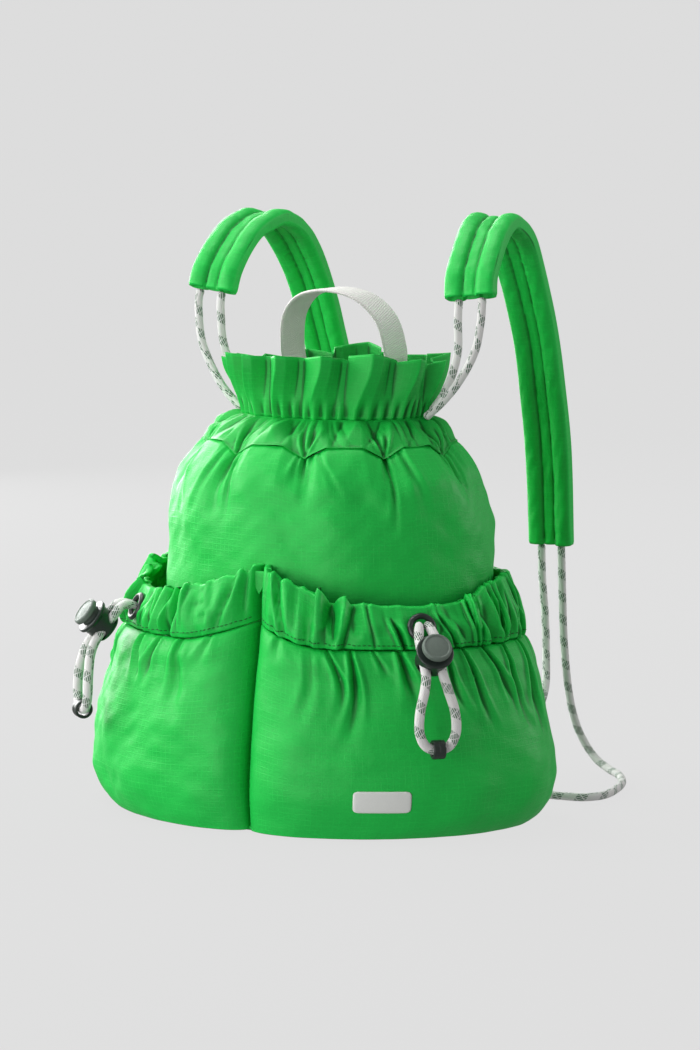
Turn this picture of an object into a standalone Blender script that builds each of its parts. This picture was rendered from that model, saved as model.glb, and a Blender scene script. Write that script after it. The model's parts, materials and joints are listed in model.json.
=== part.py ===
"""Mini backpack: a padded bucket bag with two wrap-round pockets, a gathered neck with a ruffle,
a webbing handle, two padded cord straps and a cord toggle on each pocket.

Metres, +Z up, -Y is the front with the seam between the pockets, +X is the wearer's right.
The bag is modelled standing on Z = 0 and hung under an empty, so that the origin of the finished
part lies midway between the two straps' resting places.
"""

import math

import bmesh
import bpy
import numpy as np
from mathutils import Vector

CLEARANCE = 0.0003
SEWN_GAP = 0.0009

BASE_HALF_WIDTH = 0.112
BASE_FRONT = 0.086
BASE_BACK = 0.073
BASE_THICKNESS = 0.003

BODY_HALF_WIDTH = 0.100
BODY_FRONT = 0.077
BODY_BACK = 0.072
BODY_WALL = 0.0025
BODY_SET_BACK = 0.0075
YOKE_HEIGHT = 0.1915

NECK_HALF_WIDTH = 0.0505
NECK_HALF_DEPTH = 0.0375
NECK_SET_BACK = 0.014
NECK_WALL = 0.0022
CINCH_HEIGHT = 0.2035

RUFFLE_HEIGHT = 0.0305
RUFFLE_FLARE = 0.0065
RUFFLE_WALL = 0.0012
RUFFLE_PLEAT = 0.0042
RUFFLE_SIDE_DROP = 0.15

POCKET_HALF_WIDTH = 0.127
POCKET_FRONT = 0.0945
POCKET_BACK = 0.080
POCKET_WALL = 0.0024
SEAM_HEIGHT = 0.094
RIM_HEIGHT = 0.1145
CASING_WALL = 0.0027
CASING_GATHER = 0.0011
CASING_GATHERS = 12
DIVIDER_ANGLE = 0.35
POCKET_END_ANGLE = 130.0

YOKE_FOLDS = 15
YOKE_FOLD_DEPTH = 0.0016
YOKE_DIPS = 10
YOKE_DIP = 0.0062
YOKE_DIP_ANGLE = 11.0
YOKE_DIP_SPREAD = 0.55
YOKE_DIP_FADE = 0.8

CORD_RADIUS = 0.00245
STRAP_CORD_RADIUS = 0.0021

STRAP_WIDTH = 0.0275
STRAP_THICKNESS = 0.0095
STRAP_STEP = 0.0130

HANDLE_WIDTH = 0.025
HANDLE_THICKNESS = 0.0016
HANDLE_STEP = 0.0072

GROMMET_RADIUS = 0.0073
GROMMET_HOLE = 0.0056
GROMMET_THICKNESS = 0.0016
GROMMET_ANGLE = 51.5
GROMMET_HEIGHT = 0.1045

LOCK_RADIUS = 0.0086
LOCK_LENGTH = 0.0128
LOCK_FLANGE_RADIUS = 0.0094
LOCK_FLANGE_THICKNESS = 0.0022
LOCK_BORE_RADIUS = 0.0055
LOCK_BORE_DEPTH = 0.0050
LOCK_HOLE_RADIUS = 0.0033
LOCK_HOLE_SPACING = 0.0088
LOCK_HOLE_DEPTH = 0.0086
LOCK_TURN = 42.4
LOCK_TILT = 38.0
LOCK_STAND_OFF = 0.0190
LOCK_DROP_RIGHT = 0.0130
LOCK_DROP_LEFT = 0.0085
BUTTON_RADIUS = 0.0074
BUTTON_THICKNESS = 0.0030
BUTTON_TRAVEL = 0.0020
STEM_CLEARANCE = 0.0003
STEM_ENGAGED = 0.0024

CLIP_RADIUS = 0.0048
CLIP_LENGTH = 0.0064
CLIP_CLEARANCE = 0.0009

PATCH_WIDTH = 0.027
PATCH_HEIGHT = 0.011
PATCH_THICKNESS = 0.0007
PATCH_ANGLE = 35.5
PATCH_BOTTOM = 0.0150

TACK_HALF_WIDTH = 0.0068
TACK_HEIGHT = 0.0115
TACK_THICKNESS = 0.0010

TAB_PLACE = 0.0687
TAB_WIDTH = 0.010
TAB_THICKNESS = 0.0010

RING_COLUMNS = 50
RUFFLE_PLEATS = 15
ROUND_SIDES = 16

# Height as a share of the yoke's height, then width and depth as shares of the body's sizes.
BODY_SECTIONS = [
    ("bottom", 0.000, 1.000, 0.990),
    ("lower", 0.160, 1.000, 1.000),
    ("pocket", 0.370, 0.950, 0.960),
    ("rim", 0.550, 0.900, 0.905),
    ("upper", 0.830, 0.856, 0.862),
    ("shoulder", 0.915, 0.804, 0.808),
    ("roll", 0.965, 0.736, 0.740),
    ("yoke", 1.000, 0.682, 0.688),
]

# Height as a share of the way from the yoke seam to the cinch, then how far in towards the neck.
YOKE_SECTIONS = [
    ("seam", 0.00, 0.00),
    ("low", 0.38, 0.30),
    ("high", 0.78, 0.72),
    ("cinch", 1.00, 1.00),
]

# Height as a share of the ruffle, then the share of its flare and of its pleats.
RUFFLE_SECTIONS = [
    ("cinch", 0.00, 0.00, 0.22),
    ("low", 0.22, 0.16, 0.55),
    ("middle", 0.60, 0.55, 0.85),
    ("top", 1.00, 1.00, 1.00),
]

# Place along one pleat as a share of it, then how far out it stands as a share of the pleat.
PLEAT_STEPS = [
    ("valley", 0.00, -1.00),
    ("crest", 0.22, 1.00),
    ("slope", 0.50, 0.45),
    ("hollow", 0.78, -0.75),
]

# Height as a share of the casing seam's height, then width, front and back as shares of the
# pocket's, then how far the ends stand out at least, because the base's edge holds them out.
POCKET_SECTIONS = [
    ("toe", 0.030, 0.928, 0.945, 0.965, 0.95),
    ("heel", 0.090, 0.968, 0.970, 0.980, 0.80),
    ("low", 0.200, 1.000, 1.000, 0.990, 0.0),
    ("belly", 0.400, 0.992, 0.995, 1.000, 0.0),
    ("upper", 0.790, 0.922, 0.930, 0.995, 0.0),
    ("seam", 1.000, 0.848, 0.870, 0.985, 0.0),
]

# Height as a share of the way from the casing seam to the rim, then width, front and back shares.
CASING_SECTIONS = [
    ("seam", 0.00, 0.850, 0.872, 0.985),
    ("belly", 0.40, 0.830, 0.855, 0.980),
    ("rim", 1.00, 0.785, 0.815, 0.970),
]

# Angle from the front in degrees, then the seam's and the rim's heights as shares of theirs.
POCKET_HEIGHTS = [
    ("divider", 0.0, 1.115, 1.144),
    ("rise", 10.0, 1.050, 1.090),
    ("slope", 20.0, 1.005, 1.040),
    ("front", 30.0, 1.000, 1.005),
    ("toggle", 50.0, 0.995, 0.990),
    ("side", 72.0, 0.995, 0.998),
    ("corner", 88.0, 0.995, 1.055),
    ("back", 110.0, 0.995, 1.065),
    ("end", 132.0, 0.995, 1.060),
]

# Degrees in from the pocket's end, then how far the wall stands out from the body there.
DIVIDER_PUFF = [
    ("sewn", 0.0, 0.00),
    ("fold", 0.0, 0.50),
    ("edge", 2.2, 0.68),
    ("turn", 6.0, 0.83),
    ("cheek", 12.0, 0.94),
    ("full", 20.0, 1.00),
]
BACK_PUFF = [
    ("full", 17.0, 1.00),
    ("cheek", 10.0, 0.93),
    ("turn", 5.0, 0.76),
    ("edge", 1.5, 0.50),
    ("fold", 0.0, 0.30),
    ("sewn", 0.0, 0.00),
]

# Along the strap's width, as a share of its half: where it is and how thick it is there.
STRAP_PROFILE = [
    ("edge", -1.00, 0.26),
    ("shoulder", -0.80, 0.84),
    ("crown", -0.47, 1.00),
    ("seam", 0.00, 0.34),
    ("crown", 0.47, 1.00),
    ("shoulder", 0.80, 0.84),
    ("edge", 1.00, 0.26),
]

# The strap's centreline, from its front end over the shoulder to its lower end: across, back and
# up, then its width there as a share of the strap's.
STRAP_ROUTE = [
    (0.0755, 0.0175, 0.2650, 1.00),
    (0.0740, 0.0220, 0.2770, 1.00),
    (0.0718, 0.0370, 0.2925, 1.00),
    (0.0690, 0.0520, 0.3000, 1.02),
    (0.0672, 0.0650, 0.3010, 1.02),
    (0.0660, 0.0850, 0.2915, 1.00),
    (0.0648, 0.1030, 0.2700, 0.95),
    (0.0643, 0.1185, 0.2420, 0.92),
    (0.0636, 0.1290, 0.2150, 0.92),
    (0.0630, 0.1400, 0.1730, 0.93),
    (0.0620, 0.1465, 0.1243, 0.91),
]

# One upper cord's route: across, back and up, from the strap's tube to the neck.
UPPER_CORD_OUTER = [
    (0.0821, 0.0174, 0.2651),
    (0.0826, 0.0158, 0.2603),
    (0.0822, 0.0150, 0.2520),
    (0.0797, 0.0138, 0.2380),
    (0.0725, 0.0125, 0.2240),
    (0.0640, 0.0110, 0.2130),
    (0.0534, 0.0104, 0.2034),
]
UPPER_CORD_INNER = [
    (0.0691, 0.0173, 0.2636),
    (0.0694, 0.0158, 0.2603),
    (0.0692, 0.0156, 0.2520),
    (0.0688, 0.0168, 0.2390),
    (0.0655, 0.0180, 0.2270),
    (0.0600, 0.0178, 0.2150),
    (0.0540, 0.0163, 0.2065),
]

# The lower cord's route: from the strap's inner tube down behind the bag, through the tab at
# the base, out along the ground and up to the strap's outer tube.
LOWER_CORD = [
    (0.0561, 0.1464, 0.1236),
    (0.0562, 0.1475, 0.1050),
    (0.0575, 0.1485, 0.0850),
    (0.0595, 0.1460, 0.0630),
    (0.0640, 0.1340, 0.0440),
    (0.0640, 0.1130, 0.0270),
    (0.0575, 0.0920, 0.0150),
    (0.0510, 0.0745, 0.0085),
    (0.0570, 0.0655, 0.0050),
    (0.0660, 0.0643, 0.0040),
    (0.0760, 0.0643, 0.0038),
    (0.0860, 0.0652, 0.0032),
    (0.0920, 0.0665, 0.0026),
    (0.1040, 0.0670, 0.0024),
    (0.1170, 0.0690, 0.0024),
    (0.1240, 0.0800, 0.0024),
    (0.1225, 0.1000, 0.0024),
    (0.1175, 0.1180, 0.0024),
    (0.1080, 0.1350, 0.0026),
    (0.0960, 0.1470, 0.0034),
    (0.0850, 0.1520, 0.0090),
    (0.0765, 0.1510, 0.0230),
    (0.0720, 0.1490, 0.0420),
    (0.0695, 0.1475, 0.0700),
    (0.0685, 0.1470, 0.0960),
    (0.0679, 0.1464, 0.1236),
]

# The toggle cord leaves the grommet: across, then out along the way that the grommet faces.
TOGGLE_CORD_EXIT = [
    (-0.0027, 0.0020),
    (-0.0028, 0.0046),
]

# The toggle cord's route in the lock's own frame: across, outwards and up from the lock's holes.
TOGGLE_CORD_HALF = [
    (-0.0040, -0.0092, 0.0104),
    (-0.0044, -0.0054, 0.0069),
    (-0.0044, 0.0000, 0.0000),
    (-0.0044, 0.0054, -0.0069),
    (-0.0060, 0.0088, -0.0140),
    (-0.0088, 0.0108, -0.0240),
    (-0.0094, 0.0114, -0.0335),
    (-0.0070, 0.0116, -0.0400),
    (-0.0034, 0.0116, -0.0425),
]
TOGGLE_CORD_LOW = (0.0, 0.0116, -0.0428)

# The handle's centreline: across, back and up, from its foot inside the neck to its crown.
HANDLE_ROUTE = [
    (0.0270, 0.0310, 0.2020),
    (0.0278, 0.0287, 0.2120),
    (0.0290, 0.0245, 0.2250),
    (0.0300, 0.0222, 0.2370),
    (0.0265, 0.0180, 0.2530),
    (0.0160, 0.0135, 0.2640),
    (0.0000, 0.0118, 0.2675),
]

STRAP_REST = (0.0, 0.0650, 0.2960)

SHELL = ("padded ripstop", (0.030, 0.520, 0.085, 1.0), 0.55, 0.0)
TRIM = ("single ripstop", (0.025, 0.450, 0.070, 1.0), 0.55, 0.0)
WEBBING = ("cotton webbing", (0.780, 0.760, 0.730, 1.0), 0.85, 0.0)
ROPE = ("braided cord", (0.800, 0.790, 0.770, 1.0), 0.80, 0.0)
HARD = ("moulded plastic", (0.020, 0.024, 0.022, 1.0), 0.38, 0.0)
LABEL = ("printed patch", (0.700, 0.720, 0.690, 1.0), 0.60, 0.0)


def material(node, finish):
    """The node's own material, in one of the part's finishes."""
    name, colour, roughness, metallic = finish
    made = bpy.data.materials.new(f"{name} {node}")
    made.use_nodes = True
    shader = made.node_tree.nodes["Principled BSDF"]
    shader.inputs["Base Color"].default_value = colour
    shader.inputs["Roughness"].default_value = roughness
    shader.inputs["Metallic"].default_value = metallic
    made.diffuse_color = colour
    return made


def place(name, data, finish, root):
    """Put a mesh or curve in the scene under the root."""
    piece = bpy.data.objects.new(name, data)
    bpy.context.collection.objects.link(piece)
    data.materials.append(material(name, finish))
    piece.parent = root
    return piece


def sweep(name, sections, finish, root, closed=False):
    """A solid through closed sections, each with its outer points first and its inner ones back."""
    mesh = bpy.data.meshes.new(name)
    bm = bmesh.new()
    rings = [[bm.verts.new(point) for point in section] for section in sections]
    count = len(rings[0])
    pairs = list(zip(rings, rings[1:]))
    if closed:
        pairs.append((rings[-1], rings[0]))
    for a, b in pairs:
        for i in range(count):
            j = (i + 1) % count
            bm.faces.new((a[i], a[j], b[j], b[i]))
    if not closed:
        for ring in (rings[0], rings[-1]):
            for i in range(count // 2 - 1):
                bm.faces.new((ring[i], ring[i + 1], ring[count - 2 - i], ring[count - 1 - i]))
    bmesh.ops.recalc_face_normals(bm, faces=bm.faces)
    bm.to_mesh(mesh)
    bm.free()
    mesh.shade_smooth()
    mesh.set_sharp_from_angle(angle=math.radians(50))
    return place(name, mesh, finish, root)


def column(table, name_column, value_column, at):
    """Read one column of a table at a place along another."""
    return float(np.interp(at, [r[name_column] for r in table], [r[value_column] for r in table]))


def oval(half_width, front, back, angle):
    """A point of an egg-shaped ring at an angle in degrees from the front, positive to +X."""
    turn = math.radians(angle)
    depth = front if math.cos(turn) > 0 else back
    return Vector((half_width * math.sin(turn), -depth * math.cos(turn), 0.0))


def body_point(angle, height, inset=0.0):
    """A point on the body's outer surface, or so far inside it."""
    share = height / YOKE_HEIGHT
    wide = BODY_HALF_WIDTH * column(BODY_SECTIONS, 1, 2, share) - inset
    deep = column(BODY_SECTIONS, 1, 3, share)
    back = BODY_SET_BACK * min(1.0, height / SEAM_HEIGHT) ** 2
    point = oval(wide, BODY_FRONT * deep - inset, BODY_BACK * deep - inset, angle)
    return point + Vector((0.0, back, height))


def body_facing(angle):
    """The way the body's surface faces, in plan."""
    turn = math.radians(angle)
    depth = BODY_FRONT if math.cos(turn) > 0 else BODY_BACK
    return Vector((math.sin(turn) / BODY_HALF_WIDTH, -math.cos(turn) / depth, 0.0)).normalized()


def yoke_height(angle):
    """The zig-zag seam's height: it dips to a point at each gather."""
    turn = ((angle - YOKE_DIP_ANGLE) * YOKE_DIPS / 360.0) % 1.0
    near = abs(min(turn, 1.0 - turn)) * 2.0
    return YOKE_HEIGHT - YOKE_DIP * (1.0 - min(1.0, near / YOKE_DIP_SPREAD))


def seam_height(angle):
    """The casing seam's height round the pocket."""
    return SEAM_HEIGHT * column(POCKET_HEIGHTS, 1, 2, abs(angle))


def rim_height(angle):
    """The pocket rim's height round the pocket."""
    return RIM_HEIGHT * column(POCKET_HEIGHTS, 1, 3, abs(angle))


def wrap():
    """The pocket's columns: angle from the front and how far the wall stands out there."""
    first = [(DIVIDER_ANGLE + step, puff) for _, step, puff in DIVIDER_PUFF]
    last = [(POCKET_END_ANGLE - step, puff) for _, step, puff in BACK_PUFF]
    start = first[-1][0]
    span = last[0][0] - start
    count = 10
    middle = [(start + span * i / count, 1.0) for i in range(1, count)]
    return first + middle + last


def thicken(path, wall):
    """Move a path in plan to its left or right by the wall, mitred at its corners."""
    moved = []
    for i, here in enumerate(path):
        before = path[max(i - 1, 0)]
        after = path[min(i + 1, len(path) - 1)]
        into = (here - before).to_2d()
        out = (after - here).to_2d()
        into = into.normalized() if into.length > 1e-9 else out.normalized()
        out = out.normalized() if out.length > 1e-9 else into
        along = (into + out).normalized()
        stretch = 1.0 / max(0.55, along.dot(into))
        moved.append(here + Vector((-along.y, along.x, 0.0)) * wall * stretch)
    return moved


def wall_rows(rows, wall, lift):
    """Outer and inner rows of a wall from its outer rows; lift raises the inner ones."""
    inner = [thicken(row, wall) for row in rows]
    for row, up in zip(inner, lift):
        for point in row:
            point.z += up
    return rows, inner


def mirrored(points, side):
    """The points on one side of the bag: +1 is +X, -1 is -X."""
    return [Vector((p[0] * side, p[1], p[2])) for p in points]


def bag_base(root):
    """The flat oval panel that everything is sewn to."""
    count = RING_COLUMNS
    mesh = bpy.data.meshes.new("base_panel")
    bm = bmesh.new()
    rings = []
    chamfer = BASE_THICKNESS / 3
    for height, inset in (
        (0.0, chamfer),
        (chamfer, 0.0),
        (BASE_THICKNESS - chamfer, 0.0),
        (BASE_THICKNESS, chamfer),
    ):
        rings.append(
            [
                bm.verts.new(
                    oval(
                        BASE_HALF_WIDTH - inset,
                        BASE_FRONT - inset,
                        BASE_BACK - inset,
                        360.0 * i / count,
                    )
                    + Vector((0.0, 0.0, height))
                )
                for i in range(count)
            ]
        )
    for a, b in zip(rings, rings[1:]):
        for i in range(count):
            j = (i + 1) % count
            bm.faces.new((a[i], a[j], b[j], b[i]))
    bm.faces.new(rings[0])
    bm.faces.new(rings[-1])
    bmesh.ops.recalc_face_normals(bm, faces=bm.faces)
    bm.to_mesh(mesh)
    bm.free()
    return place("base_panel", mesh, TRIM, root)


def bag_body(root):
    """The padded wall from the base to the zig-zag yoke seam, open at both ends."""
    sections = []
    for i in range(RING_COLUMNS):
        angle = YOKE_DIP_ANGLE + 360.0 * i / RING_COLUMNS
        dip = yoke_height(angle) - YOKE_HEIGHT
        outer = []
        inner = []
        for _, share, _, _ in BODY_SECTIONS:
            height = max(YOKE_HEIGHT * share, BASE_THICKNESS + CLEARANCE)
            sink = Vector((0.0, 0.0, dip * max(0.0, share - YOKE_DIP_FADE) / (1.0 - YOKE_DIP_FADE)))
            outer.append(body_point(angle, height) + sink)
            inner.append(body_point(angle, height, BODY_WALL) + sink)
        sections.append(outer + inner[::-1])
    return sweep("bag_body", sections, SHELL, root, closed=True)


def neck_ring(angle, inset=0.0):
    """A point of the cinched neck, without its height."""
    point = oval(NECK_HALF_WIDTH - inset, NECK_HALF_DEPTH - inset, NECK_HALF_DEPTH - inset, angle)
    return point + Vector((0.0, NECK_SET_BACK, 0.0))


def neck_yoke(root):
    """The gathered yoke that runs in from the zig-zag seam to the cinched neck."""
    sections = []
    for i in range(RING_COLUMNS):
        angle = YOKE_DIP_ANGLE + 360.0 * i / RING_COLUMNS
        low = yoke_height(angle) + CLEARANCE
        fold = YOKE_FOLD_DEPTH * math.cos(math.radians(angle) * YOKE_FOLDS)
        outer = []
        inner = []
        for _, up, inward in YOKE_SECTIONS:
            height = low + (CINCH_HEIGHT - low) * up
            gather = fold * inward
            for points, inset in ((outer, 0.0), (inner, NECK_WALL)):
                wide = body_point(angle, YOKE_HEIGHT, inset)
                narrow = neck_ring(angle, inset)
                point = wide.lerp(narrow, inward)
                away = Vector((math.sin(math.radians(angle)), -math.cos(math.radians(angle)), 0.0))
                point = point + away * gather
                point.z = height - (inset * inward if inset else 0.0)
                points.append(point)
        sections.append(outer + inner[::-1])
    return sweep("neck_yoke", sections, TRIM, root, closed=True)


def ruffle_collar(root):
    """The single-layer frill above the cinch, with sharp pleats that open upwards."""
    rng = np.random.default_rng(7)
    widths = 1.0 + 0.35 * rng.uniform(-1.0, 1.0, RUFFLE_PLEATS)
    edges = np.concatenate([[0.0], np.cumsum(widths)]) * 360.0 / widths.sum()
    tall = rng.uniform(-0.09, 0.09, RUFFLE_PLEATS)
    deep = rng.uniform(0.7, 1.15, RUFFLE_PLEATS)
    sections = []
    for pleat in range(RUFFLE_PLEATS):
        for _, step, stand in PLEAT_STEPS:
            angle = edges[pleat] + (edges[pleat + 1] - edges[pleat]) * step
            out = stand * deep[pleat]
            tip = 1.0 + tall[pleat] - RUFFLE_SIDE_DROP * math.sin(math.radians(angle)) ** 2
            away = Vector((math.sin(math.radians(angle)), -math.cos(math.radians(angle)), 0.0))
            outer = []
            inner = []
            for _, up, flare, pleated in RUFFLE_SECTIONS:
                rise = RUFFLE_HEIGHT * up * (tip if up == 1.0 else 1.0)
                shift = away * (RUFFLE_FLARE * flare + RUFFLE_PLEAT * pleated * out)
                shift.z = CINCH_HEIGHT + CLEARANCE + rise
                outer.append(neck_ring(angle) + shift)
                inner.append(neck_ring(angle, RUFFLE_WALL) + shift)
            sections.append(outer + inner[::-1])
    return sweep("ruffle_collar", sections, TRIM, root, closed=True)


def pocket_row(angle_puffs, heights, size, wall, wave=None):
    """One level of a pocket's outer wall, from the divider round to the back end."""
    row = []
    for (angle, puff), height in zip(angle_puffs, heights):
        near = body_point(angle, height, -SEWN_GAP)
        out = oval(*size, angle) + Vector((0.0, 0.0, height)) - near
        stand_off = max(puff * out.length, wall + CLEARANCE) if puff else 0.0
        if wave:
            stand_off = max(stand_off, wall + CLEARANCE) + wave(angle) * puff
        away = body_facing(angle) * (1.0 - puff) + out.normalized() * puff
        row.append(near + away.normalized() * stand_off)
    return row


def pocket_size(shares):
    """The pocket's half width, front and back at a section's shares of them."""
    return tuple(s * share for s, share in zip((POCKET_HALF_WIDTH, POCKET_FRONT, POCKET_BACK), shares))


def pocket_shell(side, name, root):
    """The padded pocket wall from the base seam up to the casing seam."""
    columns = wrap()
    last = len(columns) - 1
    folds = (0, 1, last - 1, last)
    ends = (*folds, 2, last - 2)
    rows = []
    for level, section in enumerate(POCKET_SECTIONS):
        _, up, width, front, back, sewn = section
        stands = [(a, puff if i in folds else max(puff, sewn)) for i, (a, puff) in enumerate(columns)]
        heights = [seam_height(angle) * up for angle, _ in columns]
        for i in ends:
            heights[i] = max(heights[i], BASE_THICKNESS + SEWN_GAP * (level + 1))
        rows.append(pocket_row(stands, heights, pocket_size((width, front, back)), POCKET_WALL))
    stand = POCKET_WALL + SEWN_GAP
    size = [BASE_HALF_WIDTH + stand, BASE_FRONT + stand, BASE_BACK + stand]
    stands = [(a, puff if i in folds else 1.0) for i, (a, puff) in enumerate(columns)]
    heights = [BASE_THICKNESS + CLEARANCE if i in ends else CLEARANCE * 2 for i in range(len(columns))]
    rows.insert(0, pocket_row(stands, heights, size, POCKET_WALL))
    lift = [0.0, POCKET_WALL * 0.4, POCKET_WALL * 0.3] + [0.0] * (len(rows) - 3)
    return wall_solid(name, rows, POCKET_WALL, lift, SHELL, side, root)


def gathered(angle):
    """The casing's gathers, which fade out at the grommet."""
    calm = 1.0 - math.exp(-(((angle - GROMMET_ANGLE) / 8.0) ** 2))
    share = (angle - DIVIDER_ANGLE) / (POCKET_END_ANGLE - DIVIDER_ANGLE)
    return CASING_GATHER * calm * math.sin(2 * math.pi * CASING_GATHERS * share)


def gathered_wrap():
    """The casing's columns: as the pocket's, with four to each gather."""
    plain = wrap()
    angles = [angle for angle, _ in plain[len(DIVIDER_PUFF) - 1 : -len(BACK_PUFF) + 1]]
    count = 3 * CASING_GATHERS
    start = angles[0]
    span = angles[-1] - start
    middle = [(start + span * i / count, 1.0) for i in range(1, count)]
    return plain[1 : len(DIVIDER_PUFF)] + middle + plain[-len(BACK_PUFF) : -1]


def pocket_casing(side, name, root):
    """The elastic casing along the pocket's rim."""
    columns = gathered_wrap()
    rows = []
    for section in CASING_SECTIONS:
        up = section[1]
        size = pocket_size(section[2:])
        heights = [casing_height(angle, up) for angle, _ in columns]
        rows.append(pocket_row(columns, heights, size, CASING_WALL, gathered))
    return wall_solid(name, rows, CASING_WALL, [0.0] * len(rows), SHELL, side, root)


def casing_height(angle, up):
    """A height in the casing, just above the seam to the rim."""
    low = seam_height(angle) + SEWN_GAP
    return low + (rim_height(angle) - low) * up


def wall_solid(name, rows, wall, lift, finish, side, root):
    """Close a wall's rows into a solid, on one side of the bag."""
    outer, inner = wall_rows(rows, wall, lift)
    sections = []
    for i in range(len(rows[0])):
        out = [row[i] for row in outer]
        back = [row[i] for row in inner]
        sections.append(mirrored(out + back[::-1], side))
    return sweep(name, sections, finish, root)


def casing_place(angle, height):
    """A point on the smooth casing and the direction that it faces."""
    low = seam_height(angle) + SEWN_GAP
    tall = rim_height(angle) - low
    share = (height - low) / tall
    wide, front, back = pocket_size([column(CASING_SECTIONS, 1, k, share) for k in (2, 3, 4)])
    point = oval(wide, front, back, angle)
    face = Vector((point.x / wide**2, point.y / front**2, 0.0)).normalized()
    shrink = column(CASING_SECTIONS, 1, 2, share - 0.3) - column(CASING_SECTIONS, 1, 2, share + 0.3)
    lean = math.atan2(shrink * POCKET_HALF_WIDTH, tall * 0.6)
    point.z = height
    return point, face * math.cos(lean) + Vector((0.0, 0.0, math.sin(lean)))


def turned(name, profile, axis_place, axis, finish, root, sides=ROUND_SIDES):
    """A round solid: a closed profile of radius and height, turned about an axis."""
    mesh = bpy.data.meshes.new(name)
    bm = bmesh.new()
    ring = [bm.verts.new((radius, 0.0, height)) for radius, height in profile]
    edges = [bm.edges.new((a, b)) for a, b in zip(ring, ring[1:])]
    if profile[0][0] > 1e-9:
        edges.append(bm.edges.new((ring[-1], ring[0])))
    bmesh.ops.spin(
        bm,
        geom=ring + edges,
        cent=(0, 0, 0),
        axis=(0, 0, 1),
        angle=math.tau,
        steps=sides,
        use_merge=True,
        use_duplicate=False,
    )
    bmesh.ops.remove_doubles(bm, verts=bm.verts, dist=1e-7)
    bmesh.ops.recalc_face_normals(bm, faces=bm.faces)
    bm.to_mesh(mesh)
    bm.free()
    mesh.shade_smooth()
    mesh.set_sharp_from_angle(angle=math.radians(35))
    piece = place(name, mesh, finish, root)
    piece.location = axis_place
    piece.rotation_mode = "QUATERNION"
    piece.rotation_quaternion = Vector((0, 0, 1)).rotation_difference(axis)
    return piece


def grommet(side, name, root):
    """The moulded eyelet in the casing, where the toggle cord comes out."""
    point, face = casing_place(GROMMET_ANGLE, GROMMET_HEIGHT)
    seat = point + face * SEWN_GAP
    profile = [
        (GROMMET_HOLE, 0.0),
        (GROMMET_RADIUS, 0.0),
        (GROMMET_RADIUS, GROMMET_THICKNESS * 0.5),
        ((GROMMET_RADIUS + GROMMET_HOLE) / 2, GROMMET_THICKNESS),
        (GROMMET_HOLE, GROMMET_THICKNESS * 0.6),
    ]
    place_here, face_here = mirrored([seat, face], side)
    return turned(name, profile, place_here, face_here, HARD, root)


def lock_frame(side):
    """The lock's place and directions: across, outwards, and the way its button faces."""
    turn = math.radians(LOCK_TURN)
    out = Vector((math.sin(turn) * side, -math.cos(turn), 0.0))
    across = Vector((math.cos(turn) * side, math.sin(turn), 0.0)) * side
    up = Vector((0.0, 0.0, 1.0))
    tilt = math.radians(LOCK_TILT)
    facing = out * math.cos(tilt) + up * math.sin(tilt)
    point, _ = casing_place(GROMMET_ANGLE, GROMMET_HEIGHT)
    drop = LOCK_DROP_RIGHT if side > 0 else LOCK_DROP_LEFT
    middle = mirrored([point], side)[0] + out * LOCK_STAND_OFF - up * drop
    return middle, across, out, up, facing


def cylinder_cutter(name, middle, direction, radius, length, root, sides=12):
    """A hidden cutter for a bore."""
    mesh = bpy.data.meshes.new(name)
    bm = bmesh.new()
    bmesh.ops.create_cone(
        bm, cap_ends=True, segments=sides, radius1=radius, radius2=radius, depth=length
    )
    bm.to_mesh(mesh)
    bm.free()
    cutter = bpy.data.objects.new(name, mesh)
    bpy.context.collection.objects.link(cutter)
    cutter.parent = root
    cutter.location = middle
    cutter.rotation_mode = "QUATERNION"
    cutter.rotation_quaternion = Vector((0, 0, 1)).rotation_difference(direction)
    cutter.hide_render = True
    cutter.display_type = "WIRE"
    return cutter


def lock_body(side, name, root):
    """The cord lock's barrel: a bore for the button's stem and a hole for each strand."""
    middle, across, _, _, facing = lock_frame(side)
    top = LOCK_HOLE_DEPTH
    bottom = top - LOCK_LENGTH
    bore_floor = top - LOCK_BORE_DEPTH
    soft = LOCK_FLANGE_THICKNESS / 3
    profile = [
        (0.0, bottom),
        (LOCK_RADIUS - soft, bottom),
        (LOCK_RADIUS, bottom + soft),
        (LOCK_RADIUS, top - LOCK_FLANGE_THICKNESS),
        (LOCK_FLANGE_RADIUS, top - LOCK_FLANGE_THICKNESS + soft),
        (LOCK_FLANGE_RADIUS, top - soft),
        (LOCK_FLANGE_RADIUS - soft, top),
        (LOCK_BORE_RADIUS, top),
        (LOCK_BORE_RADIUS, bore_floor),
        (0.0, bore_floor),
    ]
    barrel = turned(name, profile, middle, facing, HARD, root)
    along = across.cross(facing)
    for k in (-0.5, 0.5):
        cutter = cylinder_cutter(
            f"{name}_hole{'_near' if k < 0 else '_far'}",
            middle + across * LOCK_HOLE_SPACING * k,
            along,
            LOCK_HOLE_RADIUS,
            LOCK_RADIUS * 3,
            root,
        )
        cut = barrel.modifiers.new("Boolean", "BOOLEAN")
        cut.operation = "DIFFERENCE"
        cut.object = cutter
        cut.solver = "EXACT"
    return barrel


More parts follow.
